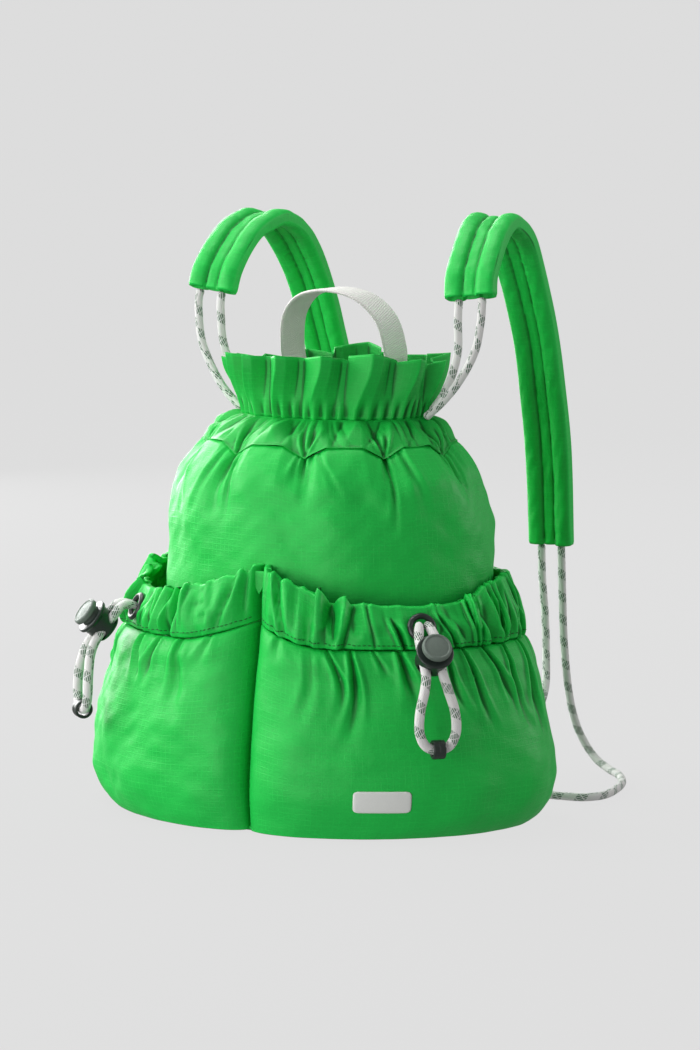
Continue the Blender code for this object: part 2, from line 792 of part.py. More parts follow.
def lock_button(side, name, root):
    """The push button: a plain disc on a stem that slides in the lock's bore."""
    middle, _, _, _, facing = lock_frame(side)
    head = LOCK_HOLE_DEPTH + BUTTON_TRAVEL + CLEARANCE
    stem = LOCK_HOLE_DEPTH - STEM_ENGAGED
    stem_radius = LOCK_BORE_RADIUS - STEM_CLEARANCE
    soft = BUTTON_THICKNESS / 3
    profile = [
        (0.0, stem),
        (stem_radius, stem),
        (stem_radius, head),
        (BUTTON_RADIUS, head),
        (BUTTON_RADIUS, head + BUTTON_THICKNESS - soft),
        (BUTTON_RADIUS - soft, head + BUTTON_THICKNESS),
        (0.0, head + BUTTON_THICKNESS),
    ]
    return turned(name, profile, middle, facing, HARD, root)


def smooth_route(points, spacing):
    """Points along a smooth curve through the route's own points, about as far apart as asked."""
    ends = [points[0] * 2 - points[1], *points, points[-1] * 2 - points[-2]]
    fine = []
    for before, a, b, after in zip(ends, ends[1:], ends[2:], ends[3:]):
        for i in range(16):
            t = i / 16
            fine.append(
                0.5
                * (
                    a * 2
                    + (b - before) * t
                    + (before * 2 - a * 5 + b * 4 - after) * t**2
                    + (a * 3 - before - b * 3 + after) * t**3
                )
            )
    fine.append(points[-1])
    along = [0.0]
    for a, b in zip(fine, fine[1:]):
        along.append(along[-1] + (b - a).length)
    count = 2 * max(1, round(along[-1] / spacing / 2)) + 1
    out = []
    for i in range(count + 1):
        at = along[-1] * i / count
        out.append(Vector([float(np.interp(at, along, [p[k] for p in fine])) for k in range(3)]))
    return out


def cord(name, route, radius, root, spacing=5.6):
    """A round cord along a smooth route."""
    data = bpy.data.curves.new(name, "CURVE")
    data.dimensions = "3D"
    data.bevel_depth = radius
    data.bevel_resolution = 2
    data.use_fill_caps = True
    points = smooth_route(route, radius * spacing)
    line = data.splines.new("POLY")
    line.points.add(len(points) - 1)
    for spot, point in zip(line.points, points):
        spot.co = (*point, 1.0)
    return place(name, data, ROPE, root)


def toggle_route(side):
    """The toggle cord's route, out of the grommet, through the lock and round its loop."""
    middle, across, out, up, _ = lock_frame(side)
    hole, face = mirrored(casing_place(GROMMET_ANGLE, GROMMET_HEIGHT), side)
    halves = []
    for k in (1, -1):
        half = [hole + across * p[0] * k + face * p[1] for p in TOGGLE_CORD_EXIT]
        half += [middle + across * p[0] * k + out * p[1] + up * p[2] for p in TOGGLE_CORD_HALF]
        halves.append(half)
    low = TOGGLE_CORD_LOW
    lowest = middle + across * low[0] + out * low[1] + up * low[2]
    return halves[0] + [lowest] + halves[1][::-1]


def cord_clip(side, name, root):
    """The short ring that closes the toggle cord's loop."""
    middle, across, out, up, _ = lock_frame(side)
    low = TOGGLE_CORD_LOW
    spot = middle + across * low[0] + out * low[1] + up * low[2]
    hole = CORD_RADIUS + CLIP_CLEARANCE
    half = CLIP_LENGTH / 2
    soft = (CLIP_RADIUS - hole) / 3
    profile = [
        (hole, -half),
        (CLIP_RADIUS - soft, -half),
        (CLIP_RADIUS, -half + soft),
        (CLIP_RADIUS, half - soft),
        (CLIP_RADIUS - soft, half),
        (hole, half),
    ]
    return turned(name, profile, spot, across, HARD, root, sides=12)


def strap_frames(side):
    """Places and directions along a strap: across its width and out of its face."""
    points = smooth_route(mirrored(STRAP_ROUTE, side), STRAP_STEP)
    shares = [row[3] for row in STRAP_ROUTE]
    frames = []
    for i, point in enumerate(points):
        share = float(np.interp(i / (len(points) - 1), np.linspace(0, 1, len(shares)), shares))
        along = (points[min(i + 1, len(points) - 1)] - points[max(i - 1, 0)]).normalized()
        across = Vector((1.0, 0.0, 0.0))
        across = (across - along * across.dot(along)).normalized()
        frames.append((point, across * share, along.cross(across) * -1.0))
    return frames


def strap(side, name, root):
    """A padded strap: two soft tubes side by side with a seam between them."""
    sections = []
    half = STRAP_WIDTH / 2
    deep = STRAP_THICKNESS / 2
    for point, across, face in strap_frames(side):
        top = [point + across * half * w + face * deep * t for _, w, t in STRAP_PROFILE]
        low = [point + across * half * w - face * deep * t for _, w, t in STRAP_PROFILE]
        sections.append(top + low[::-1])
    return sweep(name, sections, SHELL, root)


def carry_handle(root):
    """The webbing loop that stands up from inside the neck."""
    right = [Vector(p) for p in HANDLE_ROUTE]
    left = mirrored(HANDLE_ROUTE, -1)
    points = smooth_route(left + right[-2::-1], HANDLE_STEP)
    sections = []
    half = HANDLE_WIDTH / 2
    for i, point in enumerate(points):
        along = (points[min(i + 1, len(points) - 1)] - points[max(i - 1, 0)]).normalized()
        across = Vector((0.0, 1.0, 0.0))
        across = (across - along * across.dot(along)).normalized()
        face = along.cross(across) * (HANDLE_THICKNESS / 2)
        sections.append(
            [
                point - across * half + face,
                point + across * half + face,
                point + across * half - face,
                point - across * half - face,
            ]
        )
    return sweep("carry_handle", sections, WEBBING, root)


def pocket_surface(angle, height, lift):
    """A point just off the pocket's belly."""
    share = height / seam_height(angle)
    wide = POCKET_HALF_WIDTH * column(POCKET_SECTIONS, 1, 2, share) + lift
    deep = column(POCKET_SECTIONS, 1, 3, share)
    point = oval(wide, POCKET_FRONT * deep + lift, POCKET_BACK * deep + lift, angle)
    point.z = height
    return point


def plain_patch(root):
    """A plain patch low on the front of one pocket."""
    sections = []
    around = math.degrees(PATCH_WIDTH / POCKET_HALF_WIDTH)
    count = 8
    low_gap = CLEARANCE * 2.5
    for i in range(count + 1):
        angle = PATCH_ANGLE + around * (i / count - 0.5)
        heights = [PATCH_BOTTOM + PATCH_HEIGHT * k / 3 for k in range(4)]
        outer = [pocket_surface(angle, h, low_gap + PATCH_THICKNESS) for h in heights]
        inner = [pocket_surface(angle, h, low_gap) for h in heights]
        sections.append(outer + inner[::-1])
    return sweep("plain_patch", sections, LABEL, root)


def divider_tack(root):
    """The small sewn triangle where the two pockets meet at the front."""
    top = rim_height(0.0) - CLEARANCE
    sections = []
    for share in (-1.0, -0.5, 0.0, 0.5, 1.0):
        height = top - TACK_HEIGHT * (1.0 - abs(share)) - CLEARANCE
        outer = []
        inner = []
        for level in (height, top):
            for points, lift in ((outer, TACK_THICKNESS), (inner, 0.0)):
                point = body_point(0.0, level, -lift - CASING_WALL - CLEARANCE * 8)
                point.x = TACK_HALF_WIDTH * share
                points.append(point)
        sections.append(outer + inner[::-1])
    return sweep("divider_tack", sections, TRIM, root)


def cord_tab(side, name, root):
    """The webbing loop at the base's back corner, with the lower cord through it."""
    near = TAB_PLACE - TAB_WIDTH / 2
    reach = BASE_BACK * math.sqrt(1.0 - (near / BASE_HALF_WIDTH) ** 2)
    eye = STRAP_CORD_RADIUS + TAB_THICKNESS / 2 + CLEARANCE * 3
    round_half = eye + TAB_THICKNESS / 2
    middle = Vector((TAB_PLACE, reach + round_half + CLEARANCE, round_half))
    sections = []
    count = 14
    for i in range(count):
        turn = math.tau * i / count
        wall = Vector((0.0, math.cos(turn), math.sin(turn)))
        outer = middle + wall * (eye + TAB_THICKNESS / 2)
        inner = middle + wall * (eye - TAB_THICKNESS / 2)
        half = Vector((TAB_WIDTH / 2, 0.0, 0.0))
        sections.append(mirrored([outer - half, outer + half, inner + half, inner - half], side))
    return sweep(name, sections, WEBBING, root, closed=True)


def main():
    for old in list(bpy.data.objects):
        bpy.data.objects.remove(old)
    root = bpy.data.objects.new("bag_root", None)
    bpy.context.collection.objects.link(root)
    root.location = -Vector(STRAP_REST)
    bag_base(root)
    bag_body(root)
    neck_yoke(root)
    ruffle_collar(root)
    carry_handle(root)
    divider_tack(root)
    plain_patch(root)
    for side, hand in ((1, "right"), (-1, "left")):
        pocket_shell(side, f"pocket_{hand}", root)
        pocket_casing(side, f"pocket_casing_{hand}", root)
        grommet(side, f"grommet_{hand}", root)
        lock_body(side, f"lock_body_{hand}", root)
        lock_button(side, f"lock_button_{hand}", root)
        cord_clip(side, f"cord_clip_{hand}", root)
        cord(f"toggle_cord_{hand}", toggle_route(side), CORD_RADIUS, root, spacing=4.0)
        strap(side, f"strap_{hand}", root)
        cord_tab(side, f"cord_tab_{hand}", root)
        for spot, route in (("outer", UPPER_CORD_OUTER), ("inner", UPPER_CORD_INNER)):
            cord(f"upper_cord_{spot}_{hand}", mirrored(route, side), STRAP_CORD_RADIUS, root)
        cord(f"lower_cord_{hand}", mirrored(LOWER_CORD, side), STRAP_CORD_RADIUS, root)
    bpy.context.view_layer.update()


main()
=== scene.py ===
"""The looks of the mini backpack: padded ripstop shells, gathered casings and frill, webbing,
braided cords and moulded cord locks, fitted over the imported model.

Lengths are metres. The bag's own coordinates have Z = 0 at the base and -Y at the front; each
piece is moved to the model's frame by the place of its base mount.
"""

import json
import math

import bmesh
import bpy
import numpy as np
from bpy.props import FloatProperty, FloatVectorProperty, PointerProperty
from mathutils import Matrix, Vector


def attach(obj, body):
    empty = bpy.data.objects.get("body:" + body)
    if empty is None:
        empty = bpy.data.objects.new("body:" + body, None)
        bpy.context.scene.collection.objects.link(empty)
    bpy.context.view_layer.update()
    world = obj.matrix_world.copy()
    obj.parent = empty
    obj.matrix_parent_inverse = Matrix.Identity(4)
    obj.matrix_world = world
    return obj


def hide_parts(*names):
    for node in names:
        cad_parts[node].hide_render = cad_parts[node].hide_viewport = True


bl_info = {
    "name": "Mini backpack",
    "version": (1, 0, 0),
    "blender": (4, 5, 0),
    "location": "View3D > Sidebar > Backpack",
    "description": "Dresses the packed mini backpack with cloth, cords and trims",
    "category": "Object",
}

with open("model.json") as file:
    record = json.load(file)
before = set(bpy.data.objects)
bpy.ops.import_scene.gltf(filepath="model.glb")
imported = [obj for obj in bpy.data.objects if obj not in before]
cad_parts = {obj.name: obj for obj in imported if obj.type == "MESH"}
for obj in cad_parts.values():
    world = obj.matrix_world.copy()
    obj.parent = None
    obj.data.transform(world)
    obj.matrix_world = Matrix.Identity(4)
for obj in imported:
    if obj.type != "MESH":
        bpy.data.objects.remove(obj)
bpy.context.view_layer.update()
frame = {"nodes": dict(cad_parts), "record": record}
MOUNTS = {mount["name"]: mount for mount in frame["record"]["mounts"]}
BASE = np.array(MOUNTS["base"]["pos_m"])
SIDES = ((1, "right"), (-1, "left"))

# The camera stands beside the front, and looks a little down. Turns are in radians.
CAMERA_TURN = 0.489787
CAMERA_AWAY = 2.016338
CAMERA_HEIGHT = 0.388026
CAMERA_PAN = -0.006781
CAMERA_TILT = 0.119250
CAMERA_LENS = 134.85
SENSOR_WIDTH = 36.0

# The studio: each light's name, place from the bag's middle, size, power in watts and colour.
STUDIO_RADIUS = 6.0
LIGHT_ORIGIN = 0.15
LIGHT_AIM = 0.14
LIGHTS = (
    ("key", (-1.35, -0.60, 0.60), 0.90, 22.0, (1.0, 0.998, 0.99)),
    ("sheen", (-1.20, 0.78, 0.42), 1.00, 31.0, (1.0, 1.0, 1.0)),
    ("front", (-0.35, -1.75, -0.02), 1.10, 15.5, (1.0, 1.0, 1.0)),
    ("edge", (1.25, 0.95, 0.45), 0.50, 7.0, (1.0, 1.0, 1.0)),
    ("top", (-0.45, 0.10, 1.45), 0.80, 14.0, (1.0, 1.0, 1.0)),
)
WORLD_GREY = 0.73
WORLD_STRENGTH = 0.46
PAPER_GLOW = 0.715
PAPER_GREYS = (0.018, 0.022)
SHARP_EDGE = math.radians(42)

BASE_HALF_WIDTH = 0.112
BASE_FRONT = 0.086
BASE_BACK = 0.073
BASE_THICKNESS = 0.003
BASE_COLUMNS = 160
BASE_SHARES = (0.02, 0.25, 0.5, 0.75, 0.9)
BASE_RIM = ((0.0, 0.0030), (0.0003, 0.0012), (0.0012, 0.0003), (0.0022, 0.0006), (0.0028, 0.0022))
BASE_PINCH = 0.085
BASE_PINCH_ANGLE = 5.0

BODY_HALF_WIDTH = 0.100
BODY_FRONT = 0.077
BODY_BACK = 0.072
BODY_SET_BACK = 0.0075
BODY_WALL = 0.0025
YOKE_HEIGHT = 0.1915
YOKE_DIPS = 10
YOKE_DIP = 0.0062
YOKE_DIP_ANGLE = 11.0
YOKE_DIP_SPREAD = 0.55
YOKE_RADIUS = 0.062
YOKE_WALL = 0.0016

NECK_HALF_WIDTH = 0.0505
NECK_HALF_DEPTH = 0.0375
NECK_SET_BACK = 0.014
CINCH_HEIGHT = 0.2035

RUFFLE_HEIGHT = 0.0305
RUFFLE_FLARE = 0.0065
RUFFLE_PLEAT = 0.0042
RUFFLE_PLEATS = 15
RUFFLE_SIDE_DROP = 0.15
RUFFLE_CLOTH = 0.0006

POCKET_HALF_WIDTH = 0.127
POCKET_FRONT = 0.0945
POCKET_BACK = 0.080
POCKET_WALL = 0.0024
SEAM_HEIGHT = 0.094
RIM_HEIGHT = 0.1145
SEWN_GAP = 0.0009
CASING_WALL = 0.0027
DIVIDER_ANGLE = 0.35
POCKET_END_ANGLE = 130.0
POCKET_RADIUS = 0.108
CASING_RADIUS = 0.103
CASING_WAVE = 0.75

STRAP_WIDTH = 0.0275
STRAP_THICKNESS = 0.0095
STRAP_HEM = ((0.97, 0.0), (0.90, 0.0004), (0.80, 0.0030), (0.70, 0.0032))
HANDLE_WIDTH = 0.025
HANDLE_THICKNESS = 0.0016
CORD_RADIUS = 0.00245
STRAP_CORD_RADIUS = 0.0021
CORD_SPACING = 0.0012
CORD_SIDES = 20
TOGGLE_CORD_PINCH = 0.72
STITCH_LENGTH = 0.0020

# Soft waves in the cloth: from one to the next, and how deep they are.
BODY_WAVES = {"size": 0.060, "depth": 0.0017}
BODY_CRINKLES = {"size": 0.018, "depth": 0.00035}
YOKE_CRINKLES = {"size": 0.016, "depth": 0.0004}
POCKET_WAVES = {"size": 0.050, "depth": 0.0016}
POCKET_CRINKLES = {"size": 0.016, "depth": 0.00030}
CASING_CRINKLES = {"size": 0.012, "depth": 0.0005}
STRAP_WAVES = {"size": 0.035, "depth": 0.0003}
STRAP_PUCKERS = {"size": 0.010, "count": 12}
STRAP_PUCKER_DEPTH = 0.00026
STRAP_SEAM_PUCKER_DEPTH = 0.00016
STRAP_SEAM_PUCKER_PITCH = 0.0042
STRAP_HALF_FLAT = 0.014

GROMMET_ANGLE = 51.5
GROMMET_HEIGHT = 0.1045
GROMMET_RADIUS = 0.0073
GROMMET_HOLE = 0.0056
GROMMET_THICKNESS = 0.0016
LOCK_TURN = 42.4
LOCK_TILT = 38.0
LOCK_STAND_OFF = 0.0190
LOCK_DROP = {1: 0.0130, -1: 0.0085}
LOCK_TOP = 0.0086
LOCK_LENGTH = 0.0128
LOCK_RADIUS = 0.0086
LOCK_FLANGE_RADIUS = 0.0094
LOCK_FLANGE_THICKNESS = 0.0022
LOCK_BORE_RADIUS = 0.0055
LOCK_BORE_DEPTH = 0.0050
LOCK_HOLE_RADIUS = 0.0033
LOCK_HOLE_SPACING = 0.0088
BUTTON_RADIUS = 0.0074
BUTTON_THICKNESS = 0.0030
BUTTON_RISE = 0.0023
STEM_RADIUS = 0.0052
STEM_ENGAGED = 0.0024
CLIP_RADIUS = 0.0048
CLIP_HOLE = 0.00335
CLIP_LENGTH = 0.0064
CLIP_GROOVE = 0.0002
AXIS_RADIUS = 0.0008

PATCH_WIDTH = 0.027
PATCH_HEIGHT = 0.011
PATCH_ANGLE = 35.5
PATCH_BOTTOM = 0.0150
PATCH_MIDDLE = 0.0205
PATCH_CORNER = 0.0022
TACK_HALF_WIDTH = 0.0068
TACK_HEIGHT = 0.0115

# Height as a share of the yoke's height, then width and depth as shares of the body's sizes.
BODY_SECTIONS = [
    ("bottom", 0.000, 1.000, 0.990),
    ("lower", 0.160, 1.000, 1.000),
    ("pocket", 0.370, 0.950, 0.960),
    ("rim", 0.550, 0.900, 0.905),
    ("bulge", 0.690, 0.884, 0.888),
    ("upper", 0.830, 0.856, 0.862),
    ("shoulder", 0.915, 0.804, 0.808),
    ("roll", 0.965, 0.736, 0.740),
    ("yoke", 1.000, 0.682, 0.688),
]

# Height as a share of the seam's height, then width, front and back as shares of the pocket's.
POCKET_SECTIONS = [
    ("hem", 0.006, 0.908, 0.945, 0.954),
    ("toe", 0.030, 0.932, 0.955, 0.968),
    ("heel", 0.090, 0.970, 0.974, 0.980),
    ("low", 0.200, 1.000, 1.000, 0.990),
    ("belly", 0.400, 0.992, 0.995, 1.000),
    ("high", 0.600, 0.960, 0.965, 1.000),
    ("upper", 0.790, 0.922, 0.930, 0.995),
    ("seam", 1.000, 0.848, 0.870, 0.985),
]

# Height as a share of the way from the seam to the rim, then width, front and back shares.
CASING_SECTIONS = [
    ("seam", 0.00, 0.850, 0.872, 0.985),
    ("belly", 0.40, 0.832, 0.857, 0.980),
    ("elastic", 0.80, 0.800, 0.828, 0.972),
    ("rim", 1.00, 0.785, 0.815, 0.970),
]

# Angle from the front in degrees, then the seam's and the rim's heights as shares of theirs.
POCKET_HEIGHTS = [
    ("divider", 0.0, 1.115, 1.144),
    ("rise", 10.0, 1.050, 1.090),
    ("slope", 20.0, 1.005, 1.040),
    ("front", 30.0, 1.000, 1.005),
    ("toggle", 50.0, 0.995, 0.990),
    ("side", 72.0, 0.995, 0.998),
    ("corner", 88.0, 0.995, 1.055),
    ("back", 110.0, 0.995, 1.065),
    ("end", 132.0, 0.995, 1.060),
]

# Height as a share of the way from the yoke seam to the cinch, then how far in to the neck.
YOKE_SECTIONS = [
    ("seam", 0.00, 0.00),
    ("low", 0.38, 0.30),
    ("high", 0.78, 0.72),
    ("cinch", 1.00, 1.00),
]

# Place along one pleat as a share of it, then how far out it stands as a share of the pleat.
PLEAT_STEPS = [
    ("valley", 0.00, -1.00),
    ("crest", 0.22, 1.00),
    ("slope", 0.50, 0.45),
    ("hollow", 0.78, -0.75),
    ("next", 1.00, -1.00),
]

# Place along a stitch as a share of its length, then its thickness and lift as shares of its radius.
STITCH_SHAPE = (
    (-0.5, 0.15, -0.5),
    (-0.36, 0.8, 0.1),
    (0.0, 1.0, 0.35),
    (0.36, 0.8, 0.1),
    (0.5, 0.15, -0.5),
)

# The strap's centreline: across, back and up, then its width as a share of the strap's.
STRAP_ROUTE = [
    (0.0755, 0.0175, 0.2650, 1.00),
    (0.0740, 0.0220, 0.2770, 1.00),
    (0.0718, 0.0370, 0.2925, 1.00),
    (0.0690, 0.0520, 0.3000, 1.02),
    (0.0672, 0.0650, 0.3010, 1.02),
    (0.0660, 0.0850, 0.2915, 1.00),
    (0.0648, 0.1030, 0.2700, 0.95),
    (0.0643, 0.1185, 0.2420, 0.92),
    (0.0636, 0.1290, 0.2150, 0.92),
    (0.0630, 0.1400, 0.1730, 0.93),
    (0.0620, 0.1465, 0.1243, 0.91),
]

UPPER_CORDS = {
    "outer": [
        (0.0821, 0.0174, 0.2651),
        (0.0826, 0.0158, 0.2603),
        (0.0822, 0.0150, 0.2520),
        (0.0797, 0.0138, 0.2380),
        (0.0725, 0.0125, 0.2240),
        (0.0640, 0.0110, 0.2130),
        (0.0534, 0.0104, 0.2034),
    ],
    "inner": [
        (0.0691, 0.0173, 0.2636),
        (0.0694, 0.0158, 0.2603),
        (0.0692, 0.0156, 0.2520),
        (0.0688, 0.0168, 0.2390),
        (0.0655, 0.0180, 0.2270),
        (0.0600, 0.0178, 0.2150),
        (0.0540, 0.0163, 0.2065),
    ],
}

LOWER_CORD = [
    (0.0561, 0.1464, 0.1236),
    (0.0562, 0.1475, 0.1050),
    (0.0575, 0.1485, 0.0850),
    (0.0595, 0.1460, 0.0630),
    (0.0640, 0.1340, 0.0440),
    (0.0640, 0.1130, 0.0270),
    (0.0575, 0.0920, 0.0150),
    (0.0510, 0.0745, 0.0085),
    (0.0570, 0.0655, 0.0050),
    (0.0660, 0.0643, 0.0040),
    (0.0760, 0.0643, 0.0038),
    (0.0860, 0.0652, 0.0032),
    (0.0920, 0.0665, 0.0026),
    (0.1040, 0.0670, 0.0024),
    (0.1170, 0.0690, 0.0024),
    (0.1240, 0.0800, 0.0024),
    (0.1225, 0.1000, 0.0024),
    (0.1175, 0.1180, 0.0024),
    (0.1080, 0.1350, 0.0026),
    (0.0960, 0.1470, 0.0034),
    (0.0850, 0.1520, 0.0090),
    (0.0765, 0.1510, 0.0230),
    (0.0720, 0.1490, 0.0420),
    (0.0695, 0.1475, 0.0700),
    (0.0685, 0.1470, 0.0960),
    (0.0679, 0.1464, 0.1236),
]

# The toggle cord: out of the grommet, then in the lock's own frame across, outwards and up.
TOGGLE_CORD_EXIT = [
    (-0.0020, 0.0014),
    (-0.0024, 0.0046),
]
TOGGLE_CORD_HALF = [
    (-0.0040, -0.0092, 0.0104),
    (-0.0044, -0.0054, 0.0069),
    (-0.0044, 0.0000, 0.0000),
    (-0.0044, 0.0054, -0.0069),
    (-0.0060, 0.0088, -0.0140),
    (-0.0088, 0.0108, -0.0240),
    (-0.0094, 0.0114, -0.0335),
    (-0.0070, 0.0116, -0.0400),
    (-0.0034, 0.0116, -0.0425),
]
TOGGLE_CORD_LOW = (0.0, 0.0116, -0.0428)

# The handle's centreline: across, back and up, from its foot inside the neck to its crown.
HANDLE_ROUTE = [
    (0.0270, 0.0310, 0.2020),
    (0.0278, 0.0287, 0.2120),
    (0.0290, 0.0245, 0.2250),
    (0.0300, 0.0222, 0.2370),
    (0.0265, 0.0180, 0.2530),
    (0.0160, 0.0135, 0.2640),
    (0.0000, 0.0118, 0.2675),
]

# Creases under the casing seam: degrees from the divider, length, half width, depth and lean.
POCKET_CREASES = {
    1: [
        (9.0, 0.022, 0.0030, 0.0020, 0.10),
        (17.5, 0.030, 0.0034, 0.0026, -0.15),
        (23.0, 0.022, 0.0026, 0.0022, 0.20),
        (29.5, 0.036, 0.0034, 0.0028, -0.12),
        (36.0, 0.018, 0.0026, 0.0016, 0.10),
        (43.5, 0.040, 0.0036, 0.0030, 0.10),
        (58.0, 0.028, 0.0032, 0.0024, 0.25),
        (64.5, 0.046, 0.0032, 0.0026, 0.32),
        (73.0, 0.034, 0.0034, 0.0024, 0.30),
        (83.0, 0.030, 0.0036, 0.0024, 0.10),
        (95.0, 0.036, 0.0038, 0.0026, -0.10),
        (108.0, 0.026, 0.0036, 0.0022, 0.10),
    ],
    -1: [
        (12.0, 0.026, 0.0030, 0.0018, 0.10),
        (22.0, 0.034, 0.0036, 0.0026, -0.10),
        (31.0, 0.024, 0.0030, 0.0020, 0.15),
        (40.5, 0.038, 0.0036, 0.0028, -0.20),
        (61.0, 0.036, 0.0036, 0.0026, 0.15),
        (71.0, 0.026, 0.0032, 0.0022, -0.10),
        (82.0, 0.034, 0.0036, 0.0026, 0.10),
        (94.0, 0.028, 0.0036, 0.0022, -0.12),
        (106.0, 0.030, 0.0036, 0.0024, 0.10),
    ],
}


def smooth_column(table, place, value, at):
    """A smooth curve through two columns of a table, read at one place or at many."""
    xs = np.array([row[place] for row in table], float)
    ys = np.array([row[value] for row in table], float)
    slopes = np.gradient(ys, xs)
    at = np.clip(np.asarray(at, float), xs[0], xs[-1])
    i = np.clip(np.searchsorted(xs, at, side="right") - 1, 0, len(xs) - 2)
    span = xs[i + 1] - xs[i]
    t = (at - xs[i]) / span
    rise = t * t * (3 - 2 * t)
    leave = (t**3 - 2 * t**2 + t) * span * slopes[i]
    arrive = (t**3 - t**2) * span * slopes[i + 1]
    return ys[i] * (1 - rise) + ys[i + 1] * rise + leave + arrive


def plain_column(table, place, value, at):
    """Straight lines through two columns of a table."""
    return np.interp(at, [row[place] for row in table], [row[value] for row in table])


def smooth_step(low, high, at):
    """0 below low, 1 above high, and a soft change between."""
    t = np.clip((np.asarray(at, float) - low) / (high - low), 0, 1)
    return t * t * (3 - 2 * t)


def nearest(turn):
    """Turns in degrees, brought between -180 and 180."""
    return (turn + 180.0) % 360.0 - 180.0


def measured(points):
    """The distance along a line of points, from 0 at its first one."""
    return np.concatenate([[0.0], np.cumsum(np.linalg.norm(np.diff(points, axis=0), axis=1))])


def directions(points):
    """The way that a line of points runs at each of them."""
    along = np.gradient(points, axis=0)
    return along / np.linalg.norm(along, axis=1, keepdims=True)


def shell_grid(columns, levels):
    """Angles all the way round from the back, and shares of the height, as a grid."""
    angle = np.tile(180.0 + np.arange(columns) * 360.0 / columns, (len(levels), 1))
    return angle, np.tile(levels[:, None], (1, columns))


def oval(half_width, front, back, angle):
    """Points of an egg-shaped ring at angles in degrees from the front, positive to +X."""
    turn = np.radians(angle)
    depth = np.where(np.cos(turn) > 0, front, back)
    x = half_width * np.sin(turn)
    y = -depth * np.cos(turn)
    return np.stack([x, y, np.zeros_like(x)], -1)


def outward(angle):
    """The way the body's surface faces in plan."""
    turn = np.radians(angle)
    depth = np.where(np.cos(turn) > 0, BODY_FRONT, BODY_BACK)
    way = np.stack([np.sin(turn) / BODY_HALF_WIDTH, -np.cos(turn) / depth, np.zeros_like(turn)], -1)
    return way / np.linalg.norm(way, axis=-1, keepdims=True)


def body_points(angle, height, inset=0.0):
    """Points on the body's surface, or so far inside it."""
    share = height / YOKE_HEIGHT
    wide = BODY_HALF_WIDTH * smooth_column(BODY_SECTIONS, 1, 2, share) - inset
    deep = smooth_column(BODY_SECTIONS, 1, 3, share)
    points = oval(wide, BODY_FRONT * deep - inset, BODY_BACK * deep - inset, angle)
    points[..., 1] += BODY_SET_BACK * np.minimum(1.0, height / SEAM_HEIGHT) ** 2
    points[..., 2] = height
    return points


def yoke_dip(angle):
    """How near the zig-zag seam is to one of its points: 1 there, 0 between them."""
    turn = ((angle - YOKE_DIP_ANGLE) * YOKE_DIPS / 360.0) % 1.0
    near = np.minimum(turn, 1.0 - turn) * 2.0
    return 1.0 - np.minimum(1.0, near / YOKE_DIP_SPREAD)


def yoke_height(angle):
    """The zig-zag seam's height."""
    return YOKE_HEIGHT - YOKE_DIP * yoke_dip(angle)


def seam_height(angle):
    """The casing seam's height round the pocket."""
    return SEAM_HEIGHT * smooth_column(POCKET_HEIGHTS, 1, 2, np.abs(angle))


def rim_height(angle):
    """The pocket rim's height round the pocket."""
    return RIM_HEIGHT * smooth_column(POCKET_HEIGHTS, 1, 3, np.abs(angle))


def ripples(u, v, seed, size, depth=1.0, count=9):
    """Soft irregular waves over a surface, about as high and as low as the depth."""
    rng = np.random.default_rng(seed)
    total = np.zeros_like(u)
    for _ in range(count):
        way = rng.uniform(0, math.tau)
        length = size * rng.uniform(0.6, 1.7)
        phase = rng.uniform(0, math.tau)
        total += np.sin((u * math.cos(way) + v * math.sin(way)) * math.tau / length + phase)
    return depth * (total / math.sqrt(count * 1.6))


def hump(at, middle, spread):
    """1 at the middle, and less further away."""
    return np.exp(-((at - middle) / spread) ** 2)


def sunk(away, depth, reach):
    """How far cloth is drawn in, so far away from a seam."""
    return depth * np.exp(-np.clip(away, 0, 1) / reach)


def crease(across, down, length, width, depth):
    """A crease that starts at a seam: a sharp valley with a soft fold on each side."""
    fade = np.where(down >= 0, 1 - smooth_step(0.15 * length, length, down), 0)
    opened = width * (0.55 + 1.2 * np.clip(down / length, 0, 1))
    x = across / opened
    valley = -np.exp(-np.abs(x) ** 1.4)
    folds = 0.55 * np.exp(-((np.abs(x) - 1.9) ** 2) / 0.9)
    return depth * fade * (valley + folds)


def sharp_folds(angle, up, count, seed, lean):
    """Irregular folds round a ring: rounded ridges and sharp valleys that lean as they rise."""
    rng = np.random.default_rng(seed)
    widths = 1.0 + 0.75 * rng.uniform(-1, 1, count)
    edges = np.concatenate([[0.0], np.cumsum(widths)]) * 360.0 / widths.sum()
    deep = rng.uniform(0.35, 1.0, count) * widths / 1.2
    swing = lean * np.sin(np.radians(angle) * 3 + seed) * (up - 0.6)
    turn = (angle + swing) % 360.0
    fold = np.clip(np.searchsorted(edges, turn, side="right") - 1, 0, count - 1)
    share = (turn - edges[fold]) / (edges[fold + 1] - edges[fold])
    peak = rng.uniform(0.3, 0.7, count)[fold]
    rise = np.where(share < peak, share / peak, (1 - share) / (1 - peak))
    return deep[fold] * (rise**0.75) - 0.35


